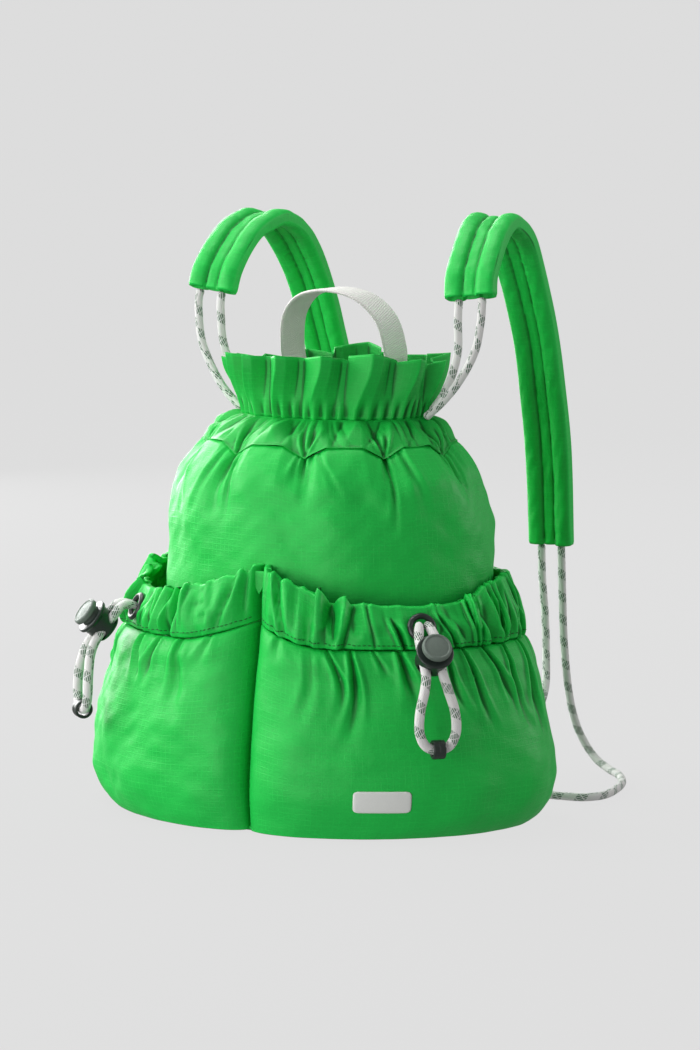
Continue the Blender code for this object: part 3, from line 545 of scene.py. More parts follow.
def smooth_route(points, spacing):
    """Points along a smooth curve through a route's own points, evenly apart."""
    points = np.asarray(points, float)
    ends = np.vstack([points[0] * 2 - points[1], points, points[-1] * 2 - points[-2]])
    fine = []
    for before, a, b, after in zip(ends, ends[1:], ends[2:], ends[3:]):
        for t in np.arange(16) / 16:
            bend = (before * 2 - a * 5 + b * 4 - after) * t**2
            turn = (a * 3 - before - b * 3 + after) * t**3
            fine.append(0.5 * (a * 2 + (b - before) * t + bend + turn))
    fine.append(points[-1])
    fine = np.array(fine)
    along = measured(fine)
    count = max(3, round(along[-1] / spacing))
    at = np.linspace(0, along[-1], count + 1)
    return np.stack([np.interp(at, along, fine[:, k]) for k in range(fine.shape[1])], -1)


def mirrored(points, side):
    """The points on one side of the bag: +1 is +X, -1 is -X."""
    points = np.array(points, float)
    points[..., 0] *= side
    return points


def new_piece(name, points, faces):
    """A smooth piece from points in the bag's coordinates."""
    mesh = bpy.data.meshes.new(name)
    mesh.from_pydata((points + BASE).tolist(), [], faces)
    piece = bpy.data.objects.new(name, mesh)
    bpy.context.collection.objects.link(piece)
    mesh.shade_smooth()
    return piece


def cloth_mesh(name, rows, uv, round_columns, round_rows=False, caps=False):
    """A mesh through a grid of points in the bag's coordinates, with its UVs in metres."""
    rows = np.asarray(rows)
    high, wide = rows.shape[:2]
    r = np.arange(high if round_rows else high - 1)
    c = np.arange(wide if round_columns else wide - 1)
    r, c = np.meshgrid(r, c, indexing="ij")
    r2 = (r + 1) % high
    c2 = (c + 1) % wide
    quads = np.stack([r * wide + c, r * wide + c2, r2 * wide + c2, r2 * wide + c], -1).reshape(-1, 4)
    faces = quads.tolist()
    if caps:
        faces.append((np.arange(high) * wide).tolist())
        faces.append((np.arange(high)[::-1] * wide + wide - 1).tolist())
    piece = new_piece(name, rows.reshape(-1, 3), faces)
    mesh = piece.data
    layer = mesh.uv_layers.new(name="cloth")
    uv = np.asarray(uv)
    corners = np.stack([uv[r, c], uv[r, c + 1], uv[r + 1, c + 1], uv[r + 1, c]], 2).reshape(-1, 2)
    flat = np.zeros((len(mesh.loops), 2))
    flat[: len(corners)] = corners
    layer.data.foreach_set("uv", flat.ravel())
    mesh.update()
    return piece


def mark_folds(piece):
    """Store how sharply the cloth is folded: above 0 in a valley, below 0 on a ridge. The ripstop
    finish paints shade in the valleys and highlight on the ridges from it.
    """
    rounds = 4
    scale = 150.0
    mesh = piece.data
    count = len(mesh.vertices)
    points, normals = np.empty((2, count, 3))
    mesh.vertices.foreach_get("co", points.ravel())
    mesh.vertex_normals.foreach_get("vector", normals.ravel())
    edges = np.empty(len(mesh.edges) * 2, int)
    mesh.edges.foreach_get("vertices", edges)
    a, b = edges.reshape(-1, 2).T
    apart = points[b] - points[a]
    square = np.maximum((apart**2).sum(1), 1e-9)
    degree = np.maximum(np.bincount(a, minlength=count) + np.bincount(b, minlength=count), 1)
    bend = np.bincount(a, (apart * normals[a]).sum(1) / square, count)
    bend -= np.bincount(b, (apart * normals[b]).sum(1) / square, count)
    bend /= degree
    for _ in range(rounds):
        near = np.bincount(a, bend[b], count) + np.bincount(b, bend[a], count)
        bend = 0.4 * bend + 0.6 * near / degree
    layer = mesh.attributes.new("fold", "FLOAT", "POINT")
    layer.data.foreach_set("value", np.clip(bend / scale, -1, 1))


def outward_faces(piece, fill=False):
    """Turn a closed mesh's faces outwards, with its open ends filled first if they are open."""
    bm = bmesh.new()
    bm.from_mesh(piece.data)
    if fill:
        bmesh.ops.holes_fill(bm, edges=[e for e in bm.edges if e.is_boundary], sides=0)
    bmesh.ops.recalc_face_normals(bm, faces=bm.faces)
    bm.to_mesh(piece.data)
    bm.free()
    return piece


def grid_uv(rows, round_columns):
    """UVs in metres that follow a grid's own lengths along its middle row and column."""
    rows = np.asarray(rows)
    high, wide = rows.shape[:2]
    middle = rows[high // 2]
    if round_columns:
        middle = np.vstack([middle, middle[:1]])
    across = measured(middle)
    up = measured(rows[:, wide // 3])
    up = np.append(up, up[-1] + 0.001)
    return np.stack(np.meshgrid(across, up), -1)


def settle(rows, pinned, growth, round_columns, pressure, grow, cap):
    """Let a shell's cloth buckle where it is gathered, held at its seams, and return its points.

    Every second row and column is simulated, and no point moves further than the cap.
    """
    frames = 16
    step = 2
    coarse = rows[::step, ::step]
    high, wide = coarse.shape[:2]
    piece = cloth_mesh("settling", coarse, np.zeros((high + 1, wide + 1, 2)), round_columns)
    for name, shares in (("hold", pinned), ("gather", growth)):
        group = piece.vertex_groups.new(name=name)
        shares = np.round(shares[::step, ::step].ravel(), 1)
        for level in np.unique(shares):
            if name == "gather" or level > 0:
                group.add(np.nonzero(shares == level)[0].tolist(), float(level), "REPLACE")
    cloth = piece.modifiers.new("Cloth", "CLOTH")
    wear = cloth.settings
    wear.effector_weights.gravity = 0
    for setting, value in (
        ("quality", 6), ("mass", 0.12),
        ("tension_stiffness", 30), ("compression_stiffness", 30),
        ("shear_stiffness", 8), ("bending_stiffness", 0.12),
        ("use_pressure", True), ("uniform_pressure_force", pressure),
        ("vertex_group_mass", "hold"), ("vertex_group_shrink", "gather"),
        ("shrink_min", 0.0), ("shrink_max", -grow),
    ):
        setattr(wear, setting, value)
    cloth.collision_settings.use_collision = False
    cloth.point_cache.frame_start = 1
    cloth.point_cache.frame_end = frames
    scene = bpy.context.scene
    for number in range(1, frames + 1):
        scene.frame_set(number)
    shaped = piece.evaluated_get(bpy.context.evaluated_depsgraph_get())
    found = np.empty(high * wide * 3)
    shaped.data.vertices.foreach_get("co", found)
    moved = found.reshape(high, wide, 3) - BASE - coarse
    scene.frame_set(1)
    bpy.data.objects.remove(piece)
    length = np.linalg.norm(moved, axis=-1, keepdims=True)
    moved *= np.minimum(1.0, cap / np.maximum(length, 1e-9))
    at_r = np.arange(rows.shape[0]) / step
    at_c = np.arange(rows.shape[1]) / step
    r0 = np.clip(at_r.astype(int), 0, high - 1)
    c0 = np.clip(at_c.astype(int), 0, wide - 1)
    r1 = np.minimum(r0 + 1, high - 1)
    c1 = (c0 + 1) % wide if round_columns else np.minimum(c0 + 1, wide - 1)
    fr = (at_r - r0)[:, None, None]
    fc = (at_c - c0)[None, :, None]
    low = moved[r0][:, c0] * (1 - fc) + moved[r0][:, c1] * fc
    top = moved[r1][:, c0] * (1 - fc) + moved[r1][:, c1] * fc
    return rows + low * (1 - fr) + top * fr


class Wire:
    """A socket of a shader's node, or a number, that plain arithmetic can be done with."""

    def __init__(self, shader, socket):
        self.shader = shader
        self.socket = socket

    def sum(self, operation, *others):
        return self.shader.node("ShaderNodeMath", {"operation": operation}, [self, *others])

    def __add__(self, other):
        return self.sum("ADD", other)

    __radd__ = __add__

    def __mul__(self, other):
        return self.sum("MULTIPLY", other)

    __rmul__ = __mul__

    def __sub__(self, other):
        return self.sum("SUBTRACT", other)

    def __rsub__(self, other):
        return self.shader.node("ShaderNodeMath", {"operation": "SUBTRACT"}, [other, self])


class Finish:
    """One material: a Principled shader and the nodes that feed it."""

    def __init__(self, name, **fixed):
        self.material = bpy.data.materials.new(name)
        self.material.use_nodes = True
        self.tree = self.material.node_tree
        self.principled = self.tree.nodes["Principled BSDF"]
        for key, value in fixed.items():
            self.principled.inputs[key.replace("_", " ")].default_value = value

    def node(self, kind, settings=None, values=(), output=0):
        """Add a node: its settings first, then its sockets' values or links."""
        made = self.tree.nodes.new(kind)
        for key, value in (settings or {}).items():
            if key == "stops":
                for place, grey in value:
                    stop = made.color_ramp.elements.new(place)
                    stop.color = (grey, grey, grey, 1)
                made.color_ramp.elements.remove(made.color_ramp.elements[0])
                made.color_ramp.elements.remove(made.color_ramp.elements[-1])
            else:
                setattr(made, key, value)
        pairs = values.items() if isinstance(values, dict) else enumerate(values)
        for key, value in pairs:
            if isinstance(value, Wire):
                self.tree.links.new(value.socket, made.inputs[key])
            else:
                made.inputs[key].default_value = value
        return Wire(self, made.outputs[output])

    def place(self, kind="UV"):
        """The piece's UVs in metres, or its Object coordinates."""
        return self.node("ShaderNodeTexCoord", output=kind)

    def parts(self, vector):
        """A vector's numbers, one Wire each."""
        split = self.node("ShaderNodeSeparateXYZ", {}, [vector])
        return [Wire(self, socket) for socket in split.socket.node.outputs]

    def noise(self, vector, scale, detail=3.0, roughness=0.55):
        """Noise between 0 and 1."""
        values = {"Vector": vector, "Scale": scale, "Detail": detail, "Roughness": roughness}
        return self.node("ShaderNodeTexNoise", {}, values)

    def wave(self, at, pitch):
        """A wave between 0 and 1 with a pitch in metres."""
        return self.node("ShaderNodeMath", {"operation": "SINE"}, [at * (math.tau / pitch)]) * 0.5 + 0.5

    def back_and_forth(self, at, reach):
        """A value that runs from 0 up to its reach and back again."""
        return self.node("ShaderNodeMath", {"operation": "PINGPONG"}, [at, reach])

    def line(self, at, pitch, width):
        """1 on thin lines a pitch apart, 0 between them."""
        turn = self.back_and_forth(at, pitch / 2)
        settings = {"interpolation_type": "SMOOTHSTEP"}
        values = {"Value": turn, 1: width * 0.35, 2: width, 3: 1.0, 4: 0.0}
        return self.node("ShaderNodeMapRange", settings, values)

    def mix(self, factor, first, second):
        """Between two colours."""
        return self.node("ShaderNodeMix", {"data_type": "RGBA"}, {0: factor, 6: first, 7: second}, 2)

    def feed(self, **links):
        """Link wires to the shader's own sockets."""
        for key, wire in links.items():
            self.tree.links.new(wire.socket, self.principled.inputs[key.replace("_", " ")])

    def bump(self, height, distance, strength):
        """Raise the surface by a height between 0 and 1 times a distance."""
        values = {"Height": height, "Distance": distance, "Strength": strength}
        self.feed(Normal=self.node("ShaderNodeBump", {}, values))

    def smoothed(self, value, low, high):
        """A value's soft step between two levels."""
        settings = {"interpolation_type": "SMOOTHSTEP"}
        values = {"Value": value, 1: low, 2: high, 3: 0.0, 4: 1.0}
        return self.node("ShaderNodeMapRange", settings, values)

    def larger(self, first, second):
        """The larger of two values."""
        return self.node("ShaderNodeMath", {"operation": "MAXIMUM"}, [first, second])


def shade(colour, factor):
    """A colour made lighter or darker."""
    return (*[min(1.0, part * factor) for part in colour[:3]], 1.0)


def ripstop(name, colour, crinkle=1.0):
    """Ripstop nylon: fine plain weave, a raised grid, soft crinkles and a satin surface, with painted
    shade in the folds' valleys and painted highlight on their ridges.
    """
    finish = Finish(name, Specular_IOR_Level=0.30)
    uv = finish.place()
    u, v, _ = finish.parts(uv)
    broken = finish.noise(uv, 70.0, 4.0, 0.65)
    drift = finish.noise(uv, 9.0, 2.0)
    along = u + (drift - 0.5) * 0.0012
    up = v + (drift - 0.5) * 0.0012
    pitch = 0.0029
    grid = finish.larger(finish.line(along, pitch, 0.00020), finish.line(up, pitch, 0.00026))
    grid = grid * finish.smoothed(broken, 0.35, 0.68)
    fine = finish.noise(uv, 1150.0, 2.0, 0.7)
    stretched = finish.node("ShaderNodeMapping", {}, {"Vector": uv, "Scale": (190, 1250, 1)})
    slub = finish.noise(stretched, 1.0, 2.0)
    creased = finish.noise(uv, 55.0, 5.0, 0.6)
    tone = 0.10 * drift + 0.44 * fine + 0.34 * slub + 0.12 * creased
    base = finish.mix(tone, shade(colour, 0.72), shade(colour, 1.30))
    base = finish.mix(grid * 0.17, base, shade(colour, 1.9))
    fold = finish.node("ShaderNodeAttribute", {"attribute_name": "fold"}, output=2)
    # Painted shade: the colour is darkened in the valleys of the folds.
    base = finish.mix(finish.smoothed(fold, 0.03, 0.75) * 0.72, base, shade(colour, 0.22))
    # Painted highlight: the colour is lightened on the ridges of the folds.
    base = finish.mix(finish.smoothed(0.0 - fold, 0.10, 0.9) * 0.30, base, shade(colour, 1.55))
    finish.feed(Base_Color=base, Roughness=0.43 + 0.16 * creased - 0.06 * grid)
    soft = finish.noise(uv, 26.0, 3.0, 0.5)
    ridged = finish.back_and_forth(finish.noise(uv, 38.0, 4.0, 0.6), 0.5)
    weave = 0.08 * grid + 0.12 * fine + 0.09 * slub
    finish.bump(weave + crinkle * (0.22 * creased + 0.45 * soft + 0.9 * ridged), 0.0016, 0.55)
    return finish.material


def webbing(name, colour):
    """Cotton webbing: close ribs across its length, with a soft fuzz and firm edges."""
    finish = Finish(name, Sheen_Weight=0.35, Sheen_Roughness=0.6, Specular_IOR_Level=0.25)
    uv = finish.place()
    u, v, _ = finish.parts(uv)
    wander = finish.noise(uv, 160.0, 3.0) * 0.0004
    ribs = finish.wave(v + wander, 0.00115)
    warp = finish.wave(u + wander, 0.00075)
    fuzz = finish.noise(uv, 900.0, 3.0, 0.7)
    stain = finish.noise(uv, 14.0, 2.0)
    tone = 0.35 * ribs + 0.20 * warp + 0.30 * fuzz + 0.15 * stain
    finish.feed(
        Base_Color=finish.mix(tone, shade(colour, 0.86), shade(colour, 1.05)),
        Roughness=0.80 + 0.12 * fuzz,
    )
    finish.bump(0.5 * ribs + 0.25 * warp + 0.3 * fuzz, 0.0004, 0.7)
    return finish.material


def braid(name, colour, tracer, radius):
    """Braided cord: two crossing lays of strands, and slanted patches of coloured picks."""
    finish = Finish(name, Sheen_Weight=0.2, Sheen_Roughness=0.5, Specular_IOR_Level=0.35)
    uv = finish.place()
    u, v, _ = finish.parts(uv)
    turn = u * (math.tau * radius)
    strand = radius * 0.42
    left = finish.wave(v * 0.8 + turn, strand)
    right = finish.wave(v * 0.8 - turn, strand)
    lay = finish.larger(left, right)
    hair = finish.noise(uv, 1400.0, 2.0, 0.7)
    wander = finish.noise(uv, 120.0, 2.0)
    slanted = v + u * 0.0075 + wander * 0.0008
    patch = finish.smoothed(finish.back_and_forth(slanted, 0.0062), 0.0034, 0.0038)
    pick = finish.wave(turn + v * 0.30, 0.00110)
    gaps = finish.smoothed(finish.wave(v - turn * 0.6, 0.0034), 0.02, 0.12)
    picks = finish.smoothed(pick, 0.34, 0.50) * gaps
    tone = 0.45 * lay + 0.30 * hair + 0.25 * wander
    base = finish.mix(tone, shade(colour, 0.80), shade(colour, 1.06))
    base = finish.mix(patch * picks, base, tracer)
    finish.feed(Base_Color=base, Roughness=0.62 + 0.18 * hair)
    finish.bump(0.75 * lay + 0.2 * hair, 0.00045, 0.8)
    return finish.material


def moulded(name, colour, light, rough=0.24, grain=0.25):
    """Moulded plastic with a fine spark-eroded grain and slightly rubbed high spots."""
    finish = Finish(name, Specular_IOR_Level=0.5)
    spot = finish.place("Object")
    fine = finish.noise(spot, 4200.0, 2.0, 0.6)
    soft = finish.noise(spot, 420.0, 3.0)
    tone = 0.55 * fine + 0.45 * soft
    finish.feed(
        Base_Color=finish.mix(tone, colour, light),
        Roughness=rough + 0.14 * soft + 0.08 * fine,
    )
    finish.bump(fine, 0.00012, grain)
    return finish.material


def printed(name, colour):
    """A pale heat-bonded patch with a slight fabric show-through."""
    finish = Finish(name, Specular_IOR_Level=0.45)
    spot = finish.place("Object")
    fine = finish.noise(spot, 1900.0, 3.0, 0.6)
    worn = finish.noise(spot, 130.0, 3.0)
    finish.feed(
        Base_Color=finish.mix(0.5 * fine + 0.5 * worn, shade(colour, 0.86), shade(colour, 1.05)),
        Roughness=0.46 + 0.2 * fine,
    )
    finish.bump(0.7 * fine + 0.3 * worn, 0.00018, 0.6)
    return finish.material


def thread(name, colour):
    """Twisted sewing thread."""
    finish = Finish(name, Specular_IOR_Level=0.4)
    spot = finish.place("Object")
    ply = finish.noise(spot, 2600.0, 2.0)
    base = finish.mix(ply, shade(colour, 0.7), shade(colour, 1.2))
    finish.feed(Base_Color=base, Roughness=0.5 + 0.2 * ply)
    finish.bump(ply, 0.0001, 0.6)
    return finish.material


def finish_piece(piece, material, *nodes, slot=None, body="bag"):
    """Give a piece its finish and its body, mark its folds if its slot is shell or trim, and hide the
    nodes that it stands for.
    """
    slot = slot or material
    piece.data.materials.clear()
    piece.data.materials.append(finishes()[material])
    if slot in ("shell", "trim"):
        mark_folds(piece)
    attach(piece, body)
    if nodes:
        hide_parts(*nodes)
    return piece


class BackpackSizes(bpy.types.PropertyGroup):
    """Sizes of the looks that can be changed."""

    body_puff: FloatProperty(
        name="Body puff", description="How far the body's cloth stands out between its gathers",
        default=0.0012, unit="LENGTH")
    casing_gather: FloatProperty(
        name="Casing gather", description="How deep the gathers of the pockets' casings are",
        default=0.0036, unit="LENGTH")
    pocket_crease: FloatProperty(
        name="Pocket crease", description="How deep the pockets' creases are, as a share",
        default=1.25, subtype="FACTOR")
    stitch_pitch: FloatProperty(
        name="Stitch pitch", description="From one stitch to the next",
        default=0.0026, unit="LENGTH")


def colour_property(name, description, red, green, blue):
    """A colour that can be changed in the panel."""
    return FloatVectorProperty(
        name=name, description=description, subtype="COLOR", size=4, default=(red, green, blue, 1.0))


class BackpackColours(bpy.types.PropertyGroup):
    """Colours of the finishes."""

    shell: colour_property("Shell", "The padded ripstop", 0.006, 0.455, 0.056)
    trim: colour_property("Trim", "The single-layer ripstop of the yoke and frill", 0.006, 0.400, 0.048)
    webbing: colour_property("Webbing", "The handle", 0.760, 0.745, 0.715)
    cord: colour_property("Cord", "The cords' pale strands", 0.800, 0.795, 0.780)
    tracer: colour_property("Tracer", "The cords' coloured strands", 0.012, 0.100, 0.035)
    hardware: colour_property("Hardware", "The cord locks, grommets and clips", 0.010, 0.016, 0.013)
    button: colour_property("Button", "The locks' push buttons", 0.100, 0.130, 0.108)
    patch: colour_property("Patch", "The plain patch on the pocket", 0.720, 0.735, 0.705)
    stitch: colour_property("Stitch", "The sewing thread", 0.006, 0.120, 0.020)


FINISHES = {}


def finishes():
    """The materials, made once."""
    if not FINISHES:
        colours = bpy.context.scene.backpack_colours
        tint = {name: tuple(getattr(colours, name)) for name in BackpackColours.__annotations__}
        strands = tint["cord"], tint["tracer"]
        dark, grey = tint["hardware"], tint["button"]
        FINISHES.update(
            shell=ripstop("padded ripstop", tint["shell"]),
            trim=ripstop("single ripstop", tint["trim"], crinkle=0.7),
            webbing=webbing("cotton webbing", tint["webbing"]),
            cord=braid("toggle braid", *strands, CORD_RADIUS),
            strap_cord=braid("strap braid", *strands, STRAP_CORD_RADIUS),
            hardware=moulded("moulded plastic", dark, shade(dark, 2.0)),
            button=moulded("button plastic", shade(grey, 0.8), shade(grey, 1.5), 0.42, 0.8),
            patch=printed("bonded patch", tint["patch"]),
            stitch=thread("sewing thread", tint["stitch"]),
        )
    return FINISHES


def lock_frame(side):
    """The lock's place, and the ways across it, outwards, up and out of its button."""
    turn = math.radians(LOCK_TURN)
    out = np.array([math.sin(turn) * side, -math.cos(turn), 0.0])
    across = np.array([math.cos(turn), math.sin(turn) * side, 0.0])
    up = np.array([0.0, 0.0, 1.0])
    tilt = math.radians(LOCK_TILT)
    facing = out * math.cos(tilt) + up * math.sin(tilt)
    hole, _ = grommet_place(side)
    middle = hole + out * LOCK_STAND_OFF - up * LOCK_DROP[side]
    return middle, across, out, up, facing


def grommet_place(side):
    """The grommet's place on the smooth casing, and the way that it faces."""
    low = SEAM_HEIGHT * float(plain_column(POCKET_HEIGHTS, 1, 2, GROMMET_ANGLE)) + SEWN_GAP
    rim = RIM_HEIGHT * float(plain_column(POCKET_HEIGHTS, 1, 3, GROMMET_ANGLE))
    share = (GROMMET_HEIGHT - low) / (rim - low)
    rows = [CASING_SECTIONS[0], CASING_SECTIONS[-1]]
    rows.insert(1, ("belly", 0.40, 0.830, 0.855, 0.980))
    wide, front = [
        size * float(plain_column(rows, 1, k, share))
        for size, k in ((POCKET_HALF_WIDTH, 2), (POCKET_FRONT, 3))
    ]
    turn = math.radians(GROMMET_ANGLE)
    point = np.array([wide * math.sin(turn), -front * math.cos(turn), GROMMET_HEIGHT])
    face = np.array([point[0] / wide**2, point[1] / front**2, 0.0])
    face /= np.linalg.norm(face)
    shrink = float(plain_column(rows, 1, 2, share - 0.3) - plain_column(rows, 1, 2, share + 0.3))
    lean = math.atan2(shrink * POCKET_HALF_WIDTH, (rim - low) * 0.6)
    facing = face * math.cos(lean) + np.array([0.0, 0.0, math.sin(lean)])
    return mirrored(point, side), mirrored(facing, side)


def cord_tube(name, route, radius, material, pinched=1.0):
    """A round braided cord along a route in the bag's coordinates, and its centreline.

    Its two ends are squeezed to a share of its radius over their last 7 mm.
    """
    line = smooth_route(route, CORD_SPACING)
    count = len(line)
    along = directions(line)
    across = np.cross(along[0], [0.0, 0.0, 1.0] if abs(along[0][2]) < 0.9 else [1.0, 0.0, 0.0])
    frames = []
    for way in along:
        across = across - way * across.dot(way)
        across /= np.linalg.norm(across)
        frames.append((across, np.cross(way, across)))
    turn = np.arange(CORD_SIDES) / CORD_SIDES * math.tau
    from_end = np.minimum(np.arange(count), np.arange(count)[::-1]) * CORD_SPACING
    thick = radius * (pinched + (1 - pinched) * smooth_step(0.0, 0.007, from_end))
    rows = np.stack([
        line[i] + thick[i] * (np.cos(turn)[:, None] * a + np.sin(turn)[:, None] * b)
        for i, (a, b) in enumerate(frames)
    ])
    soft = [(0.35, 0.0), (0.80, 0.0003)]
    start = [line[0] + (rows[0] - line[0]) * k + along[0] * d for k, d in soft]
    stop = [line[-1] + (rows[-1] - line[-1]) * k - along[-1] * d for k, d in soft[::-1]]
    rows = np.concatenate([np.stack(start), rows[1:-1], np.stack(stop)])
    length = measured(line)
    height = np.concatenate([[length[0]], length, [length[-1]]])[: len(rows)]
    height = np.append(height, height[-1])
    uv = np.stack(np.meshgrid(np.arange(CORD_SIDES + 1) / CORD_SIDES, height), -1)
    piece = outward_faces(cloth_mesh(f"{name}_braid", rows, uv, True), fill=True)
    finish_piece(piece, material, name, slot="cord")
    return piece, (line + BASE).tolist(), float(length[-1])


def turned(name, node, profile, sides, place, facing, material="hardware", body="bag"):
    """A round piece: a circle drawn out through a profile of radius and height, then set in place."""
    bpy.ops.object.select_all(action="DESELECT")
    radius, height = profile[0]
    bpy.ops.mesh.primitive_circle_add(vertices=sides, radius=radius, location=(0, 0, height))
    piece = bpy.context.object
    piece.name = name
    bpy.ops.object.transform_apply(location=True)
    bpy.ops.object.mode_set(mode="EDIT")
    bpy.ops.mesh.select_all(action="SELECT")
    for next_radius, next_height in profile[1:]:
        bpy.ops.mesh.extrude_region_move(
            TRANSFORM_OT_translate={"value": (0, 0, next_height - height)})
        share = next_radius / radius
        bpy.ops.transform.resize(value=(share, share, 1), center_override=(0, 0, next_height))
        radius, height = next_radius, next_height
    bpy.ops.mesh.select_all(action="SELECT")
    bpy.ops.mesh.remove_doubles(threshold=1e-6)
    bpy.ops.mesh.select_all(action="SELECT")
    bpy.ops.mesh.fill_holes(sides=0)
    bpy.ops.mesh.select_all(action="SELECT")
    bpy.ops.mesh.normals_make_consistent(inside=False)
    bpy.ops.object.mode_set(mode="OBJECT")
    stand = Vector((0, 0, 1)).rotation_difference(Vector(facing)).to_matrix().to_4x4()
    piece.data.transform(Matrix.Translation(Vector(place) + Vector(BASE)) @ stand)
    piece.data.shade_smooth()
    piece.data.set_sharp_from_angle(angle=SHARP_EDGE)
    return finish_piece(piece, material, node, slot="hardware", body=body)


def rounded(profile, soft):
    """A profile with its corners cut back twice, so that they read as a small radius."""
    out = [profile[0]]
    for before, here, after in zip(profile, profile[1:], profile[2:]):
        before, here, after = (np.array(p) for p in (before, here, after))
        into = here - before
        leave = after - here
        a = here - into / max(np.linalg.norm(into), 1e-9) * min(soft, np.linalg.norm(into) * 0.45)
        b = here + leave / max(np.linalg.norm(leave), 1e-9) * min(soft, np.linalg.norm(leave) * 0.45)
        for t in (0.0, 0.3, 0.7, 1.0):
            spot = a * (1 - t) ** 2 + here * 2 * t * (1 - t) + b * t**2
            out.append((float(spot[0]), float(spot[1])))
    out.append(profile[-1])
    return out


class BACKPACK_OT_stage(bpy.types.Operator):
    """The floor, the light and the camera"""

    bl_idname = "backpack.stage"
    bl_label = "Stage"

    def execute(self, context):
        scene = context.scene
        scene.view_settings.view_transform = "Standard"
        scene.view_settings.look = "None"
        camera = bpy.data.objects.new("camera", bpy.data.cameras.new("camera"))
        scene.collection.objects.link(camera)
        side = Vector((math.sin(CAMERA_TURN), -math.cos(CAMERA_TURN), 0.0))
        turn = CAMERA_TURN + CAMERA_PAN
        look = Vector((
            -math.sin(turn) * math.cos(CAMERA_TILT),
            math.cos(turn) * math.cos(CAMERA_TILT),
            -math.sin(CAMERA_TILT),
        ))
        camera.location = Vector(BASE) + side * CAMERA_AWAY + Vector((0, 0, CAMERA_HEIGHT))
        camera.rotation_euler = look.to_track_quat("-Z", "Y").to_euler()
        camera.data.sensor_width = SENSOR_WIDTH
        camera.data.lens = CAMERA_LENS
        camera.data.clip_start = 0.05
        scene.camera = camera
        self.floor()
        for name, place, size, power, tint in LIGHTS:
            self.light(name, Vector(place), size, power, tint)
        world = bpy.data.worlds.new("studio")
        scene.world = world
        world.use_nodes = True
        colour, strength = world.node_tree.nodes["Background"].inputs[:2]
        colour.default_value = (WORLD_GREY, WORLD_GREY, WORLD_GREY, 1)
        strength.default_value = WORLD_STRENGTH
        return {"FINISHED"}

    def light(self, name, place, size, power, tint):
        """A square soft light that looks at the bag's middle."""
        lamp = bpy.data.lights.new(name, "AREA")
        lamp.size = size
        lamp.energy = power
        lamp.color = tint
        made = bpy.data.objects.new(name, lamp)
        bpy.context.collection.objects.link(made)
        made.location = Vector(BASE) + place + Vector((0, 0, LIGHT_ORIGIN))
        aim = Vector(BASE) + Vector((0, 0, LIGHT_AIM)) - made.location
        made.rotation_euler = aim.to_track_quat("-Z", "Y").to_euler()

    def floor(self):
        """A pale floor that curves up into a wall all round the bag."""
        bpy.ops.object.select_all(action="DESELECT")
        bpy.ops.mesh.primitive_cylinder_add(
            vertices=128, radius=STUDIO_RADIUS, depth=STUDIO_RADIUS, location=(0, 0, STUDIO_RADIUS / 2))
        sweep = bpy.context.object
        sweep.name = "floor"
        bpy.ops.object.transform_apply(location=True)
        bpy.ops.object.mode_set(mode="EDIT")
        bpy.ops.mesh.select_mode(type="EDGE")
        bpy.ops.mesh.select_all(action="DESELECT")
        bpy.ops.object.mode_set(mode="OBJECT")
        for edge in sweep.data.edges:
            edge.select = all(sweep.data.vertices[i].co.z < 0.01 for i in edge.vertices)
        bpy.ops.object.mode_set(mode="EDIT")
        bpy.ops.mesh.bevel(offset=STUDIO_RADIUS * 0.4, segments=16)
        bpy.ops.object.mode_set(mode="OBJECT")
        sweep.data.transform(Matrix.Translation(Vector(BASE) - Vector((0, 0, 0.0002))))
        sweep.data.shade_smooth()
        paper = Finish("studio paper", Specular_IOR_Level=0.0, Emission_Strength=PAPER_GLOW)
        paper.principled.inputs["Emission Color"].default_value = (1.0, 1.0, 1.0, 1.0)
        grain = paper.noise(paper.place("Object"), 3.0, 2.0)
        greys = [(grey, grey, grey, 1) for grey in PAPER_GREYS]
        paper.feed(Base_Color=paper.mix(grain, *greys), Roughness=0.85 + 0.1 * grain)
        sweep.data.materials.append(paper.material)
        sweep.visible_diffuse = False
        sweep.visible_glossy = False
        sweep.visible_shadow = False


